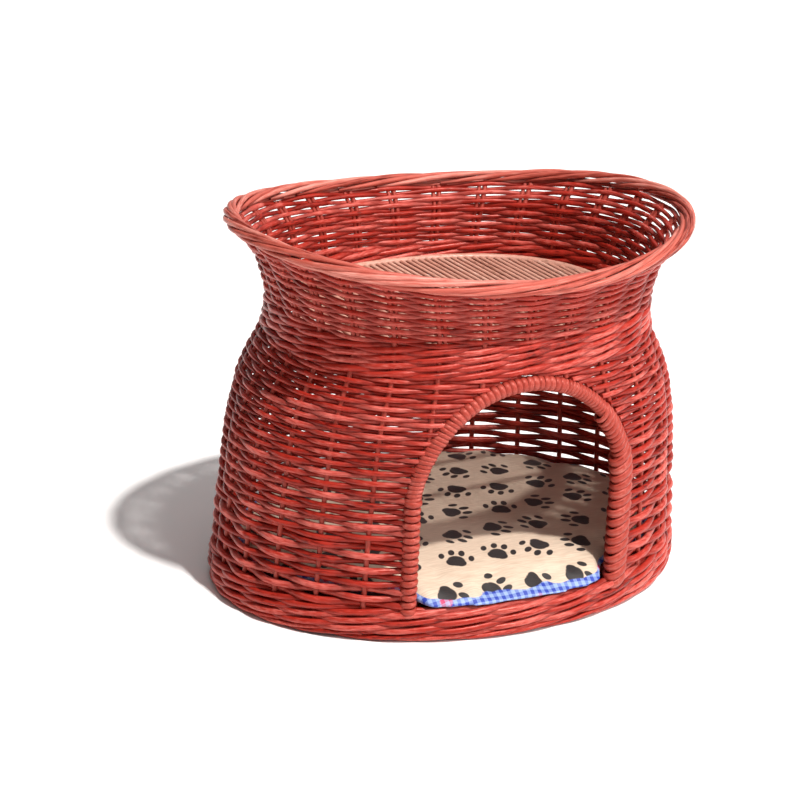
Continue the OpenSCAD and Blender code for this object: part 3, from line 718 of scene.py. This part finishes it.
# %% Tree for the loops bound round the hoop
loops, p = new_tree("Hoop loops", [
    ("Path", "object"), ("From", float), ("To", float), ("Spacing", float), ("Along wall", float),
    ("Through wall", float), ("Aside", float), ("Strand wide", float), ("Strand thick", float),
    ("Slant", float), ("Slant spread", float), ("Size spread", float), ("Seed", int),
    ("Material", "material")])
stretch = {"Curve": geometry_of(loops, p["Path"]), 2: p["From"], 3: p["To"]}
part = put(loops, "GeometryNodeTrimCurve", stretch, mode="FACTOR").outputs[0]
spaced = {"Curve": part, "Length": p["Spacing"]}
marks = put(loops, "GeometryNodeResampleCurve", spaced, mode="LENGTH").outputs[0]
here = put(loops, "GeometryNodeInputPosition").outputs[0]
facing = vec(loops, "NORMALIZE", vec(loops, "MULTIPLY", here, (1.0, 2.0, 0.0)))
tangent = put(loops, "GeometryNodeInputTangent").outputs[0]
number = put(loops, "GeometryNodeInputIndex").outputs[0]
slant = times_plus(loops, chance(loops, -1.0, 1.0, number, p["Seed"]), p["Slant spread"], p["Slant"])
ring = put(loops, "GeometryNodeCurvePrimitiveCircle", {"Resolution": 20, "Radius": 1.0}).outputs[0]
oval_ring = {"Geometry": ring, "Scale": xyz(loops, p["Through wall"], p["Along wall"], 1.0)}
ring = put(loops, "GeometryNodeTransform", oval_ring).outputs[0]
LOOP_LENGTH = 0.06
TUCK_DEPTH = 0.006
turned_by = put(loops, "GeometryNodeSplineParameter").outputs[0]
ring = keep(loops, ring, "run", times(loops, turned_by, LOOP_LENGTH))
# Painted shade on the half of each loop that passes through the wall.
ring = keep(loops, ring, "tuck", span(loops, first_axis(loops, here), -TUCK_DEPTH, TUCK_DEPTH))
strand = round_profile(loops, 8, p["Strand thick"], p["Strand wide"])
swept = {"Curve": ring, "Profile Curve": strand, "Scale": 1.0}
band = put(loops, "GeometryNodeCurveToMesh", swept).outputs[0]
upright = put(loops, "FunctionNodeAlignRotationToVector", {"Vector": tangent}, axis="Z").outputs[0]
upright = put(loops, "FunctionNodeAlignRotationToVector",
              {"Rotation": upright, "Vector": facing}, axis="X", pivot_axis="Z").outputs[0]
lean = put(loops, "FunctionNodeAxisAngleToRotation", {"Axis": (1, 0, 0), "Angle": slant}).outputs[0]
turned = put(loops, "FunctionNodeRotateRotation", {0: upright, 1: lean},
             rotation_space="LOCAL").outputs[0]
size = chance(loops, 1.0, plus(loops, p["Size spread"], 1.0), number, plus(loops, p["Seed"], 1.0))
placed = {"Points": marks, "Instance": band, "Rotation": turned,
          "Scale": xyz(loops, size, size, 1.0)}
copies = put(loops, "GeometryNodeInstanceOnPoints", placed).outputs[0]
moved = {"Instances": copies, "Translation": xyz(loops, 0.0, p["Aside"], 0.0),
         "Local Space": True}
copies = put(loops, "GeometryNodeTranslateInstances", moved).outputs[0]
shade = chance(loops, 0.0, 1.0, number, plus(loops, p["Seed"], 2.0))
copies = keep(loops, copies, "dye", shade, "INSTANCE")
finish_tree(loops, copies, p["Material"])


def bind(name, node, start, stop, spacing, along, through_wall, aside, wide, thick, slant,
         slant_spread, size_spread, seed):
    """Loops round one stretch of the hoop, as shares of its path; sizes in millimetres."""
    return grow(loops, name, [node] if node else [], hoop_willow, {
        "Path": hoop_path, "From": start, "To": stop, "Spacing": spacing*MM,
        "Along wall": along*MM, "Through wall": through_wall*MM, "Aside": aside*MM,
        "Strand wide": wide*MM, "Strand thick": thick*MM, "Slant": slant,
        "Slant spread": slant_spread, "Size spread": size_spread, "Seed": seed})


# The path runs from the right foot over the crown to the left foot.
bind("lashing_fat", "door_lashing", 0.44, 0.635, spacing=6.3, along=7.0, through_wall=6.8,
     aside=0.0, wide=3.5, thick=1.2, slant=0.06, slant_spread=0.04, size_spread=0.03, seed=41)
bind("lashing_thin", None, 0.335, 0.44, spacing=4.3, along=6.9, through_wall=6.6,
     aside=0.0, wide=2.4, thick=1.2, slant=-0.10, slant_spread=0.05, size_spread=0.04, seed=42)
bind("edge_left_upper", "door_edge_left", 0.635, 0.80, spacing=4.6, along=7.2, through_wall=6.6,
     aside=0.9, wide=2.6, thick=1.6, slant=0.28, slant_spread=0.08, size_spread=0.08, seed=43)
bind("edge_left_lower", None, 0.80, 0.995, spacing=7.9, along=6.6, through_wall=7.0,
     aside=0.2, wide=3.8, thick=2.5, slant=0.04, slant_spread=0.09, size_spread=0.10, seed=44)
bind("edge_right_lower", "door_edge_right", 0.005, 0.24, spacing=10.0, along=12.5,
     through_wall=7.4, aside=-4.5, wide=5.3, thick=3.2, slant=0.42, slant_spread=0.06,
     size_spread=0.06, seed=45)
bind("edge_right_upper", None, 0.24, 0.335, spacing=6.2, along=10.0, through_wall=7.0,
     aside=-2.5, wide=3.3, thick=2.0, slant=0.30, slant_spread=0.06, size_spread=0.05, seed=46)

# %% [markdown]
# ## Floors
# Both floors are rows of straight rods inside an oval hoop. The tray has round slats on three
# bearers, all set a little askew; the cave has rods on cross sticks. A rod's length depends on
# where it crosses the oval, so the tree shoots a ray both ways from each rod's middle and
# stops the rod where the rays meet a low wall that stands inside the hoop.

# %% Low walls that stop the rods
def fence(name, inset, low, high, station):
    """Oval strip that stops rods, at an inset in millimetres from the wall's outer face."""
    steps = 160
    nexts = [(i, (i + 1) % steps) for i in range(steps)]
    mesh = bpy.data.meshes.new(name)
    a, b = through(station, LENGTHS)/2 - inset, through(station, DEPTHS)/2 - inset
    power = through(station, SQUARENESS)
    ring = []
    for i in range(steps):
        t = 2*pi*i/steps
        k = (abs(cos(t))**power + abs(sin(t))**power)**(-1/power)
        ring.append((a*k*cos(t)*MM, b*k*sin(t)*MM))
    corners = [(x, y, z) for z in (low, high) for x, y in ring]
    mesh.from_pydata(corners, [], [(i, j, steps + j, steps + i) for i, j in nexts])
    made = bpy.data.objects.new(name, mesh)
    bpy.context.scene.collection.objects.link(made)
    return made


slat_low, slat_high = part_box("tray_slats")
bearer_low, bearer_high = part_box("tray_bearers")
rods_low, rods_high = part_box("floor_rods")
cross_low, cross_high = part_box("floor_cross_sticks")
tray_fence = fence("tray_fence", 25.5, bearer_low.z - 0.01, slat_high.z + 0.01, WAIST)
cave_fence = fence("cave_fence", 17, cross_low.z - 0.01, rods_high.z + 0.01, 0)
cross_fence = fence("cross_fence", 24, cross_low.z - 0.01, rods_high.z + 0.01, 0)

# %% Tree for rods laid side by side
laid, s = new_tree("Laid rods", [
    ("Fence", "object"), ("Count", int), ("Spacing", float), ("Height", float), ("Turn", float),
    ("Rod radius", float), ("Uneven", float), ("Seed", int), ("Material", "material")])
stop_wall = geometry_of(laid, s["Fence"])
cosine = calc(laid, "COSINE", s["Turn"])
sine = calc(laid, "SINE", s["Turn"])
heading = xyz(laid, cosine, sine, 0.0)
across = xyz(laid, times(laid, sine, -1.0), cosine, 0.0)
copies, number, share = line_copies(laid, 24, s["Count"])
place = minus(laid, number, times(laid, minus(laid, s["Count"], 1.0), 0.5))
jog = chance(laid, -0.5, 0.5, number, s["Seed"])
off = times(laid, times_plus(laid, jog, s["Uneven"], place), s["Spacing"])
middle = vec(laid, "ADD", vec(laid, "SCALE", across, scale=off), xyz(laid, 0.0, 0.0, s["Height"]))
reach = []
for way in (1.0, -1.0):
    ray = {"Target Geometry": stop_wall, "Source Position": middle,
           "Ray Direction": vec(laid, "SCALE", heading, scale=way), "Ray Length": 1.0}
    reach.append(put(laid, "GeometryNodeRaycast", ray).outputs["Hit Distance"])
far, near = reach
run = minus(laid, times(laid, share, plus(laid, far, near)), near)
wander = xyz(laid, times(laid, run, 9.0), times(laid, number, 4.1), s["Seed"])
most_bow = times(laid, s["Rod radius"], s["Uneven"])
bow = times(laid, minus(laid, noise_at(laid, wander, 1.0), 0.5), most_bow)
spot = vec(laid, "ADD", middle, vec(laid, "SCALE", heading, scale=run))
spot = vec(laid, "ADD", spot, vec(laid, "SCALE", across, scale=bow))
curves = keep(laid, copies, "dye", chance(laid, 0.0, 1.0, number, plus(laid, s["Seed"], 1.0)))
curves = keep(laid, curves, "thick", chance(laid, 0.9, 1.0, number, plus(laid, s["Seed"], 2.0)))
curves = keep(laid, curves, "run", times_plus(laid, number, 0.7, run))
curves = keep(laid, curves, "tuck", steady(laid, 1.0))
curves = bend_to(laid, curves, spot)
radius = times(laid, named(laid, "thick"), s["Rod radius"])
close_tree(laid, curves, round_profile(laid, 12), radius, s["Material"])


def lay(name, node, material, fence_piece, box, count, spacing, turn, radius, uneven, seed):
    """Rods side by side at the middle of a box's height; spacing and radius in millimetres."""
    return grow(laid, name, [node], material, {
        "Fence": fence_piece, "Count": count, "Spacing": spacing*MM,
        "Height": (box[0].z + box[1].z)/2, "Turn": turn, "Rod radius": radius*MM,
        "Uneven": uneven, "Seed": seed})


SLAT_TURN = 7.5*pi/180
lay("slat_rods", "tray_slats", bare_wood, tray_fence, (slat_low, slat_high),
    count=49, spacing=7.5, turn=pi/2 + SLAT_TURN, radius=2.15, uneven=0.12, seed=51)
lay("bearer_rods", "tray_bearers", bare_wood, tray_fence,
    (bearer_low, bearer_high), count=3, spacing=78, turn=SLAT_TURN, radius=4, uneven=0.02,
    seed=52)
lay("cave_floor_rods", "floor_rods", red_willow, cave_fence,
    (rods_low, rods_high), count=37, spacing=9, turn=0.0, radius=2.5, uneven=0.15, seed=53)
lay("cross_stick_rods", "floor_cross_sticks", red_willow, cross_fence,
    (cross_low, cross_high), count=9, spacing=47.8, turn=pi/2, radius=4, uneven=0.1, seed=54)

# %% Hoops of the two floors
# A hoop is a weaver that doesn't wave, held inside the wall.
def floor_ring(name, node, material, inset, height, radius, seed):
    """Smooth oval hoop, its middle at an inset from the wall's outer face; millimetres."""
    return grow(weavers, name, [node], material, {
        "Wall": guide, "Strands": 1, "Strands in a row": 1, "First level": height*MM,
        "Pitch": 0.0, "Rod radius": radius*MM, "Reach": 0.0, "Lift": 0.0,
        "Bias": (WALL_MIDDLE - inset)*MM, "Waves": 0.0, "Steps": STAKES*STEPS_A_STAKE + 1,
        "Unevenness": 0.0, "Rod length": 14.0, "Taper": 0.0, "Doorway": False, "Seed": seed})


floor_ring("tray_hoop_rod", "tray_hoop", bare_wood, inset=20, height=305.2,
           radius=4.4, seed=61)
floor_ring("floor_hoop_rod", "floor_hoop", red_willow, inset=19, height=16,
           radius=4, seed=62)

# %% [markdown]
# ## The cushion
# The cushion is a loose oval pillow: printed cotton satin on top, checked cotton underneath.
# A block with round edges never looks stuffed, so a thin pillow is blown up as cloth: the
# sheet keeps its area and swells, and small folds gather along the seam. It rides on its own
# body, because it can be lifted out.

# %% Cotton materials
def own_place(tree):
    """Where a point lies on its own object."""
    return put(tree, "ShaderNodeTexCoord").outputs["Object"]


PAW_CELL = 0.050
PAW_NUDGE = 0.16
paw = bpy.data.node_groups.new("Paw print", "ShaderNodeTree")
paw.interface.new_socket("Place", in_out="INPUT", socket_type="NodeSocketVector")
paw.interface.new_socket("Ink", in_out="OUTPUT", socket_type="NodeSocketFloat")
place = paw.nodes.new("NodeGroupInput").outputs[0]
cells = vec(paw, "SCALE", place, scale=1/PAW_CELL)
# Every second row is shifted by half a cell, and each print is turned and nudged by its cell.
parts = put(paw, "ShaderNodeSeparateXYZ", {0: cells}).outputs
shift = times(paw, calc(paw, "FLOORED_MODULO", calc(paw, "FLOOR", parts[1]), 2.0), 0.5)
cells = xyz(paw, plus(paw, parts[0], shift), parts[1], 0.0)
cell = vec(paw, "FLOOR", cells)
inner = vec(paw, "SUBTRACT", cells, vec(paw, "ADD", cell, (0.5, 0.5, 0)))
lot = put(paw, "ShaderNodeTexWhiteNoise", {"Vector": cell}, noise_dimensions="3D").outputs
nudge = vec(paw, "SCALE", vec(paw, "SUBTRACT", lot["Color"], (0.5, 0.5, 0.5)), scale=PAW_NUDGE)
inner = vec(paw, "ADD", inner, nudge)
turned = put(paw, "ShaderNodeVectorRotate", {"Vector": inner, "Angle": times(paw, lot["Value"], 2*pi)},
             rotation_type="Z_AXIS").outputs[0]
INK_SPOTS = [(0.0, -0.09, 0.19, 0.20), (-0.09, -0.16, 0.13, 0.13), (0.09, -0.16, 0.13, 0.13),
             (-0.32, 0.05, 0.065, 0.11), (-0.11, 0.23, 0.07, 0.12), (0.11, 0.23, 0.07, 0.12),
             (0.32, 0.05, 0.065, 0.11)]
ink = None
for x, y, half_wide, half_high in INK_SPOTS:
    offset = vec(paw, "SUBTRACT", turned, (x, y, 0))
    shape = vec(paw, "MULTIPLY", offset, (1/half_wide, 1/half_high, 0))
    edge = vec(paw, "LENGTH", shape)
    ink = edge if ink is None else calc(paw, "MINIMUM", ink, edge)
put(paw, "NodeGroupOutput", {0: span(paw, ink, 0.9, 1.08, 1.0, 0.0)})

thread = bpy.data.node_groups.new("Cotton thread", "ShaderNodeTree")
thread.interface.new_socket("Threads", in_out="INPUT", socket_type="NodeSocketFloat")
thread.interface.new_socket("Height", in_out="OUTPUT", socket_type="NodeSocketFloat")
thread.interface.new_socket("Slub", in_out="OUTPUT", socket_type="NodeSocketFloat")
count = thread.nodes.new("NodeGroupInput").outputs[0]
flat = own_place(thread)
axes = put(thread, "ShaderNodeSeparateXYZ", {0: vec(thread, "SCALE", flat, scale=count)}).outputs
weft = calc(thread, "SINE", times(thread, axes[0], 2*pi))
warp = calc(thread, "SINE", times(thread, axes[1], 2*pi))
slub = noise_at(thread, vec(thread, "MULTIPLY", flat, (60.0, 900.0, 60.0)), 1.0, 3.0)
put(thread, "NodeGroupOutput", {0: times(thread, weft, warp), 1: slub})


THREAD_DEPTH = 0.0002


def cotton(name, threads, sheen):
    """Cotton with a fine weave; returns the material, its tree and the slub output."""
    material = bpy.data.materials.new(name)
    material.use_nodes = True
    tree = material.node_tree
    shader = tree.nodes["Principled BSDF"]
    group = put(tree, "ShaderNodeGroup", {"Threads": threads}, node_tree=thread)
    relief = {"Height": group.outputs["Height"], "Strength": 0.15, "Distance": THREAD_DEPTH}
    bumps = put(tree, "ShaderNodeBump", relief)
    tree.links.new(bumps.outputs[0], shader.inputs["Normal"])
    tree.links.new(span(tree, group.outputs["Slub"], 0.3, 0.7, 0.42, 0.62), shader.inputs["Roughness"])
    shader.inputs["Sheen Weight"].default_value = sheen
    shader.inputs["Sheen Roughness"].default_value = 0.4
    return material, tree, group.outputs["Slub"]


CHECK = 0.0042
gingham = bpy.data.node_groups.new("Gingham", "ShaderNodeTree")
gingham.interface.new_socket("Place", in_out="INPUT", socket_type="NodeSocketVector")
gingham.interface.new_socket("Color", in_out="OUTPUT", socket_type="NodeSocketColor")
place = gingham.nodes.new("NodeGroupInput").outputs[0]
axes = put(gingham, "ShaderNodeSeparateXYZ", {0: vec(gingham, "SCALE", place, scale=1/CHECK)}).outputs
stripes = [calc(gingham, "GREATER_THAN", calc(gingham, "FLOORED_MODULO", axis, 2.0), 1.0)
           for axis in axes[:2]]
amount = times_plus(gingham, plus(gingham, *stripes), 0.35, 0.3)
patch = noise_at(gingham, place, 26.0, 0.0)
tint = blend(gingham, span(gingham, patch, 0.58, 0.62), (0.010, 0.04, 0.36, 1), (0.52, 0.02, 0.12, 1))
put(gingham, "NodeGroupOutput", {0: blend(gingham, amount, (0.40, 0.55, 0.82, 1), tint)})

EDGING = 0.0055
EDGING_SOFTNESS = 0.0003
printed_cotton, tree, slub = cotton("printed_cotton", 900.0, 0.3)
base = blend(tree, span(tree, slub, 0.25, 0.75), (0.54, 0.41, 0.30, 1), (0.70, 0.56, 0.43, 1))
flat = own_place(tree)
print_group = put(tree, "ShaderNodeGroup", {"Place": flat}, node_tree=paw)
inked = blend(tree, print_group.outputs[0], base, (0.014, 0.010, 0.010, 1))
edging = put(tree, "ShaderNodeGroup", {"Place": flat}, node_tree=gingham).outputs[0]
on_top = span(tree, attribute(tree, "above_seam"), EDGING - EDGING_SOFTNESS,
              EDGING + EDGING_SOFTNESS)
tree.links.new(blend(tree, on_top, edging, inked), tree.nodes["Principled BSDF"].inputs["Base Color"])

checked_cotton, tree, slub = cotton("checked_cotton", 1100.0, 0.15)
flat = own_place(tree)
checks = put(tree, "ShaderNodeGroup", {"Place": flat}, node_tree=gingham).outputs[0]
tree.links.new(blend(tree, span(tree, slub, 0.3, 0.7, 0.0, 0.25), checks, (0.9, 0.9, 0.92, 1)),
               tree.nodes["Principled BSDF"].inputs["Base Color"])
print("cottons:", printed_cotton.name, checked_cotton.name)

# %% Pillow blank
cushion_low, cushion_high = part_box("cushion_bottom_cover")[0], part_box("cushion_top_cover")[1]
HALF_LONG, HALF_DEEP = cushion_high.x, cushion_high.y
SEAM_Z = (cushion_low.z + cushion_high.z)/2
FULL = (cushion_high.z - cushion_low.z)/2
BLANK = 0.62


def pillow_blank():
    """Thin pillow: ovals from the seam to the crown, above and below."""
    around, rings = 120, 26
    points = [(HALF_LONG*0.985*cos(2*pi*i/around), HALF_DEEP*0.985*sin(2*pi*i/around), SEAM_Z)
              for i in range(around)]
    faces = []
    for way in (1, -1):
        previous = list(range(around))
        for r in range(1, rings):
            share = 1 - (r/rings)**1.3
            rise = way*BLANK*FULL*sqrt(max(0.0, 1 - share**2.4))
            ring = list(range(len(points), len(points) + around))
            points += [(points[i][0]*share, points[i][1]*share, SEAM_Z + rise) for i in range(around)]
            for i in range(around):
                j = (i + 1) % around
                quad = (previous[i], previous[j], ring[j], ring[i])
                faces.append(quad if way > 0 else quad[::-1])
            previous = ring
        points.append((0, 0, SEAM_Z + way*BLANK*FULL))
        top = len(points) - 1
        for i in range(around):
            tri = (previous[i], previous[(i + 1) % around], top)
            faces.append(tri if way > 0 else tri[::-1])
    mesh = bpy.data.meshes.new("cushion_pillow")
    mesh.from_pydata(points, [], faces)
    return mesh


pillow = bpy.data.objects.new("cushion_pillow", pillow_blank())
bpy.context.scene.collection.objects.link(pillow)
print("pillow blank with", len(pillow.data.vertices), "points")

# %% Blow it up as cloth
def inflate(piece, voxel, pressure, frames):
    """Remeshes a closed form, runs it as cloth under pressure, and keeps the result."""
    remesh = piece.modifiers.new("remesh", "REMESH")
    remesh.mode, remesh.voxel_size = "VOXEL", voxel
    evaluated = piece.evaluated_get(bpy.context.evaluated_depsgraph_get())
    piece.data = bpy.data.meshes.new_from_object(evaluated)
    piece.modifiers.remove(remesh)
    start = [v.co.copy() for v in piece.data.vertices]
    cloth = piece.modifiers.new("cloth", "CLOTH")
    cloth.settings.use_pressure = True
    cloth.settings.uniform_pressure_force = pressure
    cloth.settings.effector_weights.gravity = 0
    cloth.settings.tension_stiffness = cloth.settings.compression_stiffness = 25
    cloth.settings.bending_stiffness = 0.4
    cloth.point_cache.frame_start, cloth.point_cache.frame_end = 1, frames
    for number in range(1, frames + 1):
        bpy.context.scene.frame_set(number)
    evaluated = piece.evaluated_get(bpy.context.evaluated_depsgraph_get())
    mesh = bpy.data.meshes.new_from_object(evaluated)
    piece.modifiers.remove(cloth)
    bpy.context.scene.frame_set(1)
    for vertex, before in zip(mesh.vertices, start):
        move = vertex.co - before
        vertex.co = before + move*min(1.0, SWELL/max(move.length, 1e-6))
    piece.data = mesh


SWELL = 0.014
inflate(pillow, 0.0055, 4.0, 20)
peak = max(v.co.z for v in pillow.data.vertices) - SEAM_Z
print("pillow swelled to", round(2000*peak, 1), "mm thick")

# %% Settle, pucker and dress the pillow
# In the doorway nothing holds the pillow back, so it bulges out over the sill, most of all
# near the sides, and stops short of the loops on the right. Sizes are in millimetres.
DOOR_BULGE = 17
CORNER_BULGE = 5
BULGE_LEFT = 116
BULGE_RIGHT = 106
SILL_TOP = 39.5
SILL_TOP_EASE = 3
DROOP = 6.5


GATHER_HEIGHT, FOLD_HEIGHT = 0.0022, 0.0016


def settle(mesh):
    """Fits the pillow to its place, gathers its seam, and flattens what lies on the floor."""
    heights_above_seam = []
    longest = max(abs(v.co.x) for v in mesh.vertices)
    deepest = max(abs(v.co.y) for v in mesh.vertices)
    for vertex in mesh.vertices:
        x, y, z = vertex.co
        x, y = x*HALF_LONG/longest, y*HALF_DEEP/deepest
        up = (z - SEAM_Z)*FULL/peak
        share = sqrt((x/HALF_LONG)**2 + (y/HALF_DEEP)**2)
        turn = Vector((x/HALF_LONG, y/HALF_DEEP, 0)).normalized()
        gathers = noise.noise(turn*9) + 0.6*noise.noise(turn*21)
        folds = noise.noise(Vector((x*14, y*14, 3))) + 0.5*noise.noise(Vector((x*34, y*34, 8)))
        near_seam = max(0.0, 1 - abs(1 - share)/0.22)
        rumple = GATHER_HEIGHT*gathers*near_seam + FOLD_HEIGHT*folds*(1 - near_seam)
        up += rumple if up > 0 else -rumple
        z = min(max(SEAM_Z + up, cushion_low.z), cushion_high.z + 0.002)
        heights_above_seam.append(z - SEAM_Z)
        from_middle = x/MM - DOOR_SHIFT
        aside = from_middle/(BULGE_RIGHT if from_middle > 0 else BULGE_LEFT)
        in_doorway = max(0.0, 1 - aside**20)
        above_sill = min(1.0, max(0.0, (z/MM - SILL_TOP)/SILL_TOP_EASE))
        if y < 0:
            edge = in_doorway*above_sill*share**6
            y -= (DOOR_BULGE + CORNER_BULGE*aside**2)*MM*edge
            z = max(min(z, SILL_TOP*MM), z - DROOP*MM*edge)
        vertex.co = (x, y, z)
    return heights_above_seam


above_seam = settle(pillow.data)
pillow.data.attributes.new("above_seam", "FLOAT", "POINT").data.foreach_set("value", above_seam)
pillow.data.materials.append(printed_cotton)
pillow.data.materials.append(checked_cotton)
for face in pillow.data.polygons:
    up = sum(above_seam[i] for i in face.vertices)/len(face.vertices)
    face.material_index = 0 if up > 0 else 1
    face.use_smooth = True
smooth = pillow.modifiers.new("smooth", "SUBSURF")
smooth.levels = smooth.render_levels = 1
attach(pillow, "cushion")
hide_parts("cushion_top_cover", "cushion_bottom_cover", "cushion_filling")
print("pillow has", len(pillow.data.vertices), "points")

# %% [markdown]
# ## Set, light and camera
# The basket stands on a plain pale floor. The main light is high, in front and to the right,
# so the left end of the wall falls into shade and the doorway's shadow lies across the
# cushion. A softer one, lower on the right, brightens that side and the tray's far wall, and
# a weak one stands behind. The world is brighter on the right too, and plain white where the
# camera sees it.

# %% Floor, world and lights
for helper in (guide, hoop_path, tray_fence, cave_fence, cross_fence):
    bpy.data.objects.remove(helper)

floor_mesh = bpy.data.meshes.new("studio_floor")
FLOOR_HALF = 14
floor_mesh.from_pydata([(x, y, 0) for x, y in ((-FLOOR_HALF, -FLOOR_HALF), (FLOOR_HALF, -FLOOR_HALF),
                                               (FLOOR_HALF, FLOOR_HALF), (-FLOOR_HALF, FLOOR_HALF))],
                       [], [(0, 1, 2, 3)])
studio_floor = bpy.data.objects.new("studio_floor", floor_mesh)
bpy.context.scene.collection.objects.link(studio_floor)
pale = bpy.data.materials.new("pale_floor")
pale.use_nodes = True
pale.node_tree.nodes["Principled BSDF"].inputs["Base Color"].default_value = (0.93, 0.925, 0.92, 1)
pale.node_tree.nodes["Principled BSDF"].inputs["Roughness"].default_value = 0.9
floor_mesh.materials.append(pale)

world = bpy.data.worlds.new("studio")
world.use_nodes = True
bpy.context.scene.world = world
sky = world.node_tree
seen = put(sky, "ShaderNodeLightPath").outputs["Is Camera Ray"]
fill = sky.nodes["Background"]
fill.inputs["Color"].default_value = (1.0, 0.98, 0.97, 1)
way = put(sky, "ShaderNodeTexCoord").outputs["Generated"]
BRIGHT_SIDE = (0.8, -0.35, 0.45)
DIM, BRIGHT = 0.03, 0.52
from_right = vec(sky, "DOT_PRODUCT", way, BRIGHT_SIDE)
sky.links.new(span(sky, from_right, -0.7, 0.7, DIM, BRIGHT), fill.inputs["Strength"])
backdrop = put(sky, "ShaderNodeBackground", {"Color": (1, 1, 1, 1), "Strength": 1.0}).outputs[0]
mixed = put(sky, "ShaderNodeMixShader", {0: seen, 1: fill.outputs[0], 2: backdrop}).outputs[0]
sky.links.new(mixed, sky.nodes["World Output"].inputs["Surface"])
bpy.context.scene.view_settings.view_transform = "Standard"


def lamp(name, place, aim, size, power, colour=(1, 1, 1)):
    """Square area light that faces a point."""
    light = bpy.data.lights.new(name, "AREA")
    light.size, light.energy, light.color = size, power, colour
    made = bpy.data.objects.new(name, light)
    made.matrix_world = Matrix.LocRotScale(
        place, (Vector(place) - Vector(aim)).to_track_quat("Z", "Y"), None)
    bpy.context.scene.collection.objects.link(made)
    return made


lamp("back_light", (0.6, 2.0, 2.6), (0, 0, 0.25), 1.5, 6)
lamp("right_light", (1.5, -2.0, 1.5), (0.1, 0, 0.3), 1.0, 30, (1.0, 0.95, 0.94))
KEY_FROM = (0.35, -0.97, 2.25)
sun = bpy.data.lights.new("key_light", "SUN")
sun.energy, sun.angle, sun.color = 3.6, 0.05, (1.0, 0.975, 0.95)
key_light = bpy.data.objects.new("key_light", sun)
key_light.rotation_euler = Vector(KEY_FROM).to_track_quat("Z", "Y").to_euler()
bpy.context.scene.collection.objects.link(key_light)

# %% Camera
CAMERA_LENS = 111.98
CAMERA_PLACE = (-1.12331, -2.26248, 1.19833)
camera_data = bpy.data.cameras.new("camera")
camera_data.lens = CAMERA_LENS
camera = bpy.data.objects.new("camera", camera_data)
RIGHT = Vector((0.91223, -0.40704, 0.04646))
UP = Vector((0.11190, 0.35666, 0.92751))
AHEAD = Vector((0.39410, 0.84090, -0.37091))
turned = Matrix((RIGHT, UP, -AHEAD)).transposed().to_quaternion()
camera.matrix_world = Matrix.LocRotScale(Vector(CAMERA_PLACE), turned, None)
bpy.context.scene.collection.objects.link(camera)
bpy.context.scene.camera = camera
print("camera lens", camera_data.lens)
